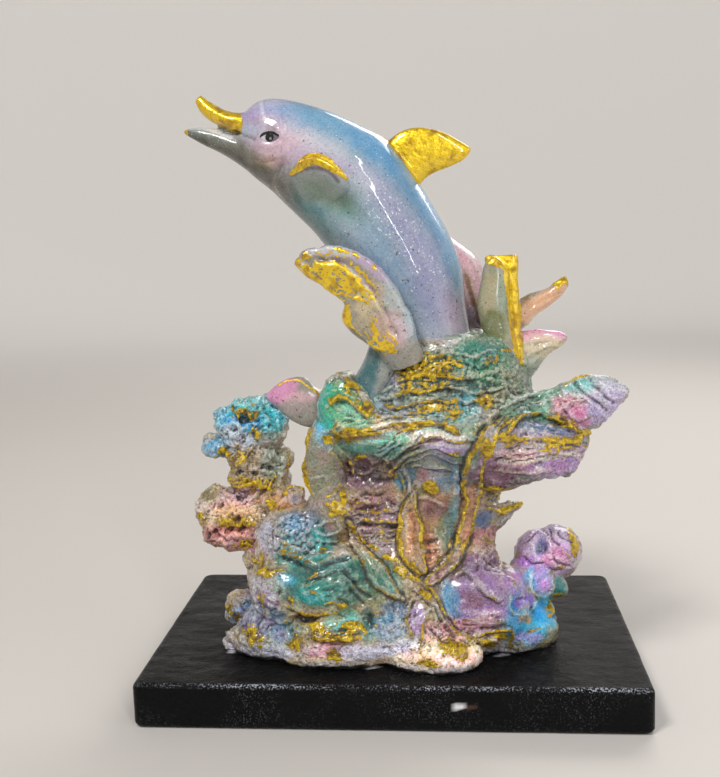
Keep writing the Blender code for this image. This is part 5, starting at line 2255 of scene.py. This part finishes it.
@dataclass
class Reef(CastPiece):
    """The trunk with the rocks and the right coral that have grown on it, fused into one skin."""

    name: str = "reef"
    step: float = 0.97
    plane: float = -41.0
    ground: Tint = Tint.BEIGE
    foot: bool = True
    parts: tuple[Trunk, LeftReef, RightCoral] = (Trunk(), LeftReef(), RightCoral())

    def forms(self) -> list[Form]:
        """The forms of every part."""
        return [form for part in self.parts for form in part.forms()]

    def marks(self) -> Marks:
        """The trunk's marks, the rocks' and the right coral's."""
        return Marks.read(TRUNK_MARKS + LEDGE_MARKS + ROCK_MARKS + SHELL_MARKS, melt=18, crag_size=18.0,
                          pits=0.5, back_folds=2.6, ridge_gold=0.7, **SEA_SETTINGS)

    def finish_skin(self, skin_: Carving) -> None:
        """The board's black paint, run up on the foot with a ragged edge."""
        ragged = 1.8 * cloud(skin_.points, 7.0, 3, 61) + 0.9 * cloud(skin_.points, 22.0, 2, 62)
        height = skin_.points[:, 2] - ragged
        patchy = ease(-0.5, 0.4, cloud(skin_.points, 14.0, 3, 63))
        skin_.lay(Tint.PEARL, 0.75 * ease(7.0, 3.5, height) * patchy)
        black = ease(2.6, 1.4, height)
        skin_.lay(Tint.BLACK, black)
        skin_.gilt *= 1 - black


@dataclass
class Board:
    """The wooden board: rounded edges, a little uneven under thick brushed paint, chipped at the front."""

    name: str = "board"
    round: float = 0.0030
    corner: float = 0.0045
    around: int = 400
    widened: float = 1.42
    uneven: float = 0.00035
    black: Row = (0.0045, 0.0046, 0.005)
    chip: Oval = Oval(35.5, 14.6, 3.6, 1.9, -8)
    chip_deep: float = 0.0006
    stain: Oval = Oval(41, 14, 4, 1.8, 6)
    smears: tuple[Oval, ...] = (
        Oval(-45, -51, 12, 4, -12), Oval(-16, -58, 13, 4.5, -18), Oval(20, -64, 14, 5, -12),
        Oval(60, -42, 10, 3, 30), Oval(-88, -40, 8, 3, 60))

    def rings(self, half: Array, tall: float) -> Form:
        """Carries a profile round a rectangle. The profile runs from the middle of the underside over the
        edge to the middle of the top. The rectangle is a widened circle cut off at its four sides and
        drawn in by each row of the profile, with its corners pulled in to a round.

        Args:
            half: half the length and half the depth.
            tall: the thickness.

        Returns:
            Points and triangles.
        """
        bend = np.linspace(0, math.pi / 2, 7)
        r, far = self.round, half[1] * 0.98
        inset = np.concatenate([np.linspace(far, r, 26), r * (1 - np.sin(bend[1:])), np.zeros(16),
                                r * (1 - np.cos(bend)), np.linspace(r, far, 60)[1:]])
        rise = np.concatenate([np.zeros(26), r * (1 - np.cos(bend[1:])), np.linspace(r, tall - r, 18)[1:-1],
                               tall - r + r * np.sin(bend), np.full(59, tall)])
        angle = (np.arange(self.around) + 0.5) * 2 * math.pi / self.around
        square = [np.clip(self.widened * turn(angle), -1, 1) for turn in (np.cos, np.sin)]
        corner = self.corner / half
        reach = [np.abs(side) - (1 - corner[k]) for k, side in enumerate(square)]
        over = np.hypot(reach[0] / corner[0], reach[1] / corner[1])
        past = (reach[0] > 0) & (reach[1] > 0) & (over > 1)
        pull = np.where(past, 1 - 1 / np.maximum(over, 1), 0)
        x, y = (side * (half[k] - inset[:, None]) for k, side in enumerate(square))
        x -= np.sign(x) * pull * np.maximum(reach[0], 0) * half[0]
        y -= np.sign(y) * pull * np.maximum(reach[1], 0) * half[1]
        points = np.stack([x, y, np.broadcast_to(rise[:, None], x.shape)], axis=2).reshape(-1, 3)
        return np.vstack([points, (0, 0, 0), (0, 0, tall)]), tube_faces(len(inset), self.around)

    def worn_edges(self, points: Array, half: Array, tall: float) -> Array:
        """Sinks the points by the edges and on the top a little, as a cloud says."""
        wave = self.uneven * cloud(points * 1000, 26.0, 3, 3)
        outward = points * (1, 1, 0) / (np.linalg.norm(points[:, :2], axis=1, keepdims=True) + 1e-9)
        near_edge = ease(0.012, 0.0, (half - np.abs(points[:, :2])).min(axis=1))
        lift = np.where(points[:, 2] > tall - 0.0005, wave * 0.5, 0)
        points = points + outward * (np.minimum(wave, 0) * near_edge)[:, None]
        points[:, 2] += np.minimum(lift, 0.0)
        return points

    def build(self) -> bpy.types.Object:
        """Shapes the board, chips its front and paints it, with pale resin smears by the casting's foot.

        Returns:
            The board.
        """
        low, high = (np.array(corner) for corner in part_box("plinth"))
        half, tall = (high[:2] - low[:2]) / 2, high[2] - low[2]
        points, faces = self.rings(half, tall)
        points = self.worn_edges(points, half, tall)
        at = points[:, [0, 2]] * 1000
        front = points[:, 1] < -half[1] + 0.004
        shake = np.stack([cloud(points * 1000, 3.0, 2, seed) for seed in (5, 6)], axis=1)
        chip = self.chip.inside(at + shake) * front
        points[:, 1] += self.chip_deep * ease(0, 0.3, chip) * front
        colour = np.tile(np.array(self.black), (len(points), 1))
        drawn = points * 1000
        ragged = 0.9 * cloud(drawn, 3.2, 3, 44) + 0.5 * cloud(drawn, 9.0, 2, 45)
        patches = [(0.55 * ease(0.0, 0.5, self.stain.inside(at) * front), Tint.BROWN),
                   (0.9 * ease(0.0, 0.12, chip), Tint.WHITE)]
        for area in self.smears:
            mask = ease(0.3, 0.6, area.inside(drawn[:, :2]) + 0.6 * ragged) * (drawn[:, 2] > tall * 1000 - 1)
            patches.append((mask * 0.75, Tint.PEARL))
        for mask, tint in patches:
            colour += (tint.linear() - colour) * mask[:, None]
        # A painted highlight on the rounded top front edge, broken into patches, kept in the paint's alpha.
        edge_highlight = ease(0.0022, 0.0008, tall - points[:, 2]) * ease(0.0042, 0.0018, half[1] + points[:, 1])
        edge_highlight = edge_highlight * ease(-0.9, 0.6, cloud(drawn, 18.0, 3, 81))
        obj = sheet(self.name, points + np.array([*(low[:2] + high[:2]) / 2, low[2]]), faces)
        turned_out(obj)
        written(obj, "paint", np.hstack([colour, edge_highlight[:, None]]))
        dressed(obj, BoardPaint().material())
        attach(obj, "root")
        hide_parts("plinth")
        return obj


@dataclass
class Studio:
    """The pale floor, the soft lights and the camera."""

    floor_colour: Row = (0.72, 0.69, 0.66)
    sides: int = 120
    camera_place: Row = (0.0318, -0.580, 0.258)
    camera_turn: Row = (-4.86, 9.32, -1.5)
    sensor: float = 36.0
    lens_share: float = 1050.0 / 777.0

    def floor(self) -> None:
        """A seamless pale sweep all round: rings whose radius and height run out flat and then up a
        quarter round into a wall."""
        bend = np.linspace(0, math.pi / 2, 24)
        radius = np.concatenate([[0.4, 0.9, 1.4], 1.8 + 1.2 * np.sin(bend), [3.0, 3.0]])
        rise = np.concatenate([[0, 0, 0], 1.2 * (1 - np.cos(bend)), [1.5, 1.9]])
        angle = np.arange(self.sides) * 2 * math.pi / self.sides
        rings = np.stack([radius[:, None] * np.cos(angle), radius[:, None] * np.sin(angle),
                          np.repeat(rise[:, None], self.sides, axis=1)], axis=2).reshape(-1, 3)
        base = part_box("plinth")[0][2]
        across = np.arange(self.sides)
        after = np.roll(across, -1)
        inner = np.arange(len(radius) - 1)[:, None] * self.sides
        outer = inner + self.sides
        walls = np.stack([inner + across, inner + after, outer + after, outer + across], -1)
        middle = np.stack([across, after, np.full(self.sides, len(rings))], 1)
        obj = sheet("floor", np.vstack([rings, (0, 0, 0)]) + (0, 0, base),
                    [*walls.reshape(-1, 4)[:, ::-1].tolist(), *middle.tolist()])
        net = NodeTable("floor_paint")
        net.surface("Base Color", self.floor_colour)
        net.surface("Roughness", 0.65)
        net.surface("Emission Color", (1.0, 0.97, 0.94))
        net.surface("Emission Strength", net.step(net.parts(net.place)[1], 0.6, 2.2, (0.0, 0.26)))
        dressed(obj, net.material)

    def light(self, name: str, place: Row, aim: Row, size: Row, power: float, colour: Row) -> None:
        """A soft rectangular lamp that looks at a point."""
        lamp = bpy.data.lights.new(name, "AREA")
        lamp.shape = "RECTANGLE"
        lamp.size, lamp.size_y = size
        lamp.energy = power
        lamp.color = colour
        obj = bpy.data.objects.new(name, lamp)
        obj.location = place
        obj.rotation_euler = (Vector(aim) - Vector(place)).to_track_quat("-Z", "Y").to_euler()
        bpy.context.scene.collection.objects.link(obj)

    def world(self, strength: float) -> None:
        """An even pale light from all round."""
        world = bpy.data.worlds.new("studio")
        world.use_nodes = True
        background = world.node_tree.nodes["Background"]
        background.inputs[0].default_value = (0.86, 0.83, 0.80, 1.0)
        background.inputs[1].default_value = strength
        bpy.context.scene.world = world

    def camera(self) -> None:
        """The photograph's view: place, the three axes of its turn (yaw, pitch and roll), and a lens of
        48.65 mm on a sensor 36 mm along the frame's long side."""
        data = bpy.data.cameras.new("camera")
        data.sensor_width = self.sensor
        data.sensor_fit = "AUTO"
        data.lens = self.sensor * self.lens_share
        yaw, pitch, roll = (math.radians(turn) for turn in self.camera_turn)
        ahead = np.array([math.sin(yaw) * math.cos(pitch), math.cos(yaw) * math.cos(pitch),
                          -math.sin(pitch)])
        right = np.array([math.cos(yaw), -math.sin(yaw), 0.0])
        up = np.cross(right, ahead)
        across = right * math.cos(roll) + up * math.sin(roll)
        upward = up * math.cos(roll) - right * math.sin(roll)
        obj = bpy.data.objects.new("camera", data)
        obj.matrix_world = Matrix([(*row, place) for row, place in zip(
            np.stack([across, upward, -ahead], axis=1), self.camera_place)] + [(0, 0, 0, 1)])
        data.clip_start, data.clip_end = 0.02, 50.0
        bpy.context.scene.collection.objects.link(obj)
        bpy.context.scene.camera = obj

    def build(self) -> None:
        """Sets up the whole studio."""
        self.floor()
        self.light("key", (-1.0, -1.35, 2.3), (0.0, 0.0, 0.16), (0.65, 0.5), 36.0, (1.0, 0.98, 0.95))
        self.light("strip", (0.42, -1.0, 0.8), (0.0, 0.0, 0.2), (0.028, 1.15), 4.0, (1.0, 1.0, 1.0))
        self.light("fill", (1.0, -0.5, 0.5), (0.0, 0.0, 0.15), (0.7, 0.7), 1.8, (0.95, 0.97, 1.0))
        self.light("rim", (0.5, 0.9, 0.9), (0.0, 0.0, 0.18), (0.8, 0.5), 6.0, (1.0, 0.97, 0.93))
        self.world(0.22)
        self.camera()
        bpy.context.scene.view_settings.view_transform = "Standard"


def main() -> None:
    """Builds the casting's pieces, the board and the studio in order."""
    logging.basicConfig(level=logging.INFO, format="%(message)s")
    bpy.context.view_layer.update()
    seat = Seat.from_frame()
    smooth = PearlPaint("dolphin_lacquer", coat=0.9, grain=0.00012, flecks=0.8, mottle=0.10,
                        glitter=0.0006, wobble=0.0004, ripples=0.0003).material()
    matt = PearlPaint("reef_lacquer", coat=1.0, grain=0.0012, flecks=0.35, mottle=0.06,
                      shine=0.17, contrast=0.28, ripples=0.0020, veins=0.6, tarnish=0.9).material()
    mother = Mother()
    head = mother.build(seat, smooth)
    for side in (-1.0, 1.0):
        mother.build_eye(seat, head, side)
    Calf().build(seat, smooth)
    Tails().build(seat, smooth)
    for piece in (Wave(), Reef(), LeftCoral()):
        piece.build(seat, matt)
    Board().build()
    Studio().build()


if __name__ == "__main__":
    main()
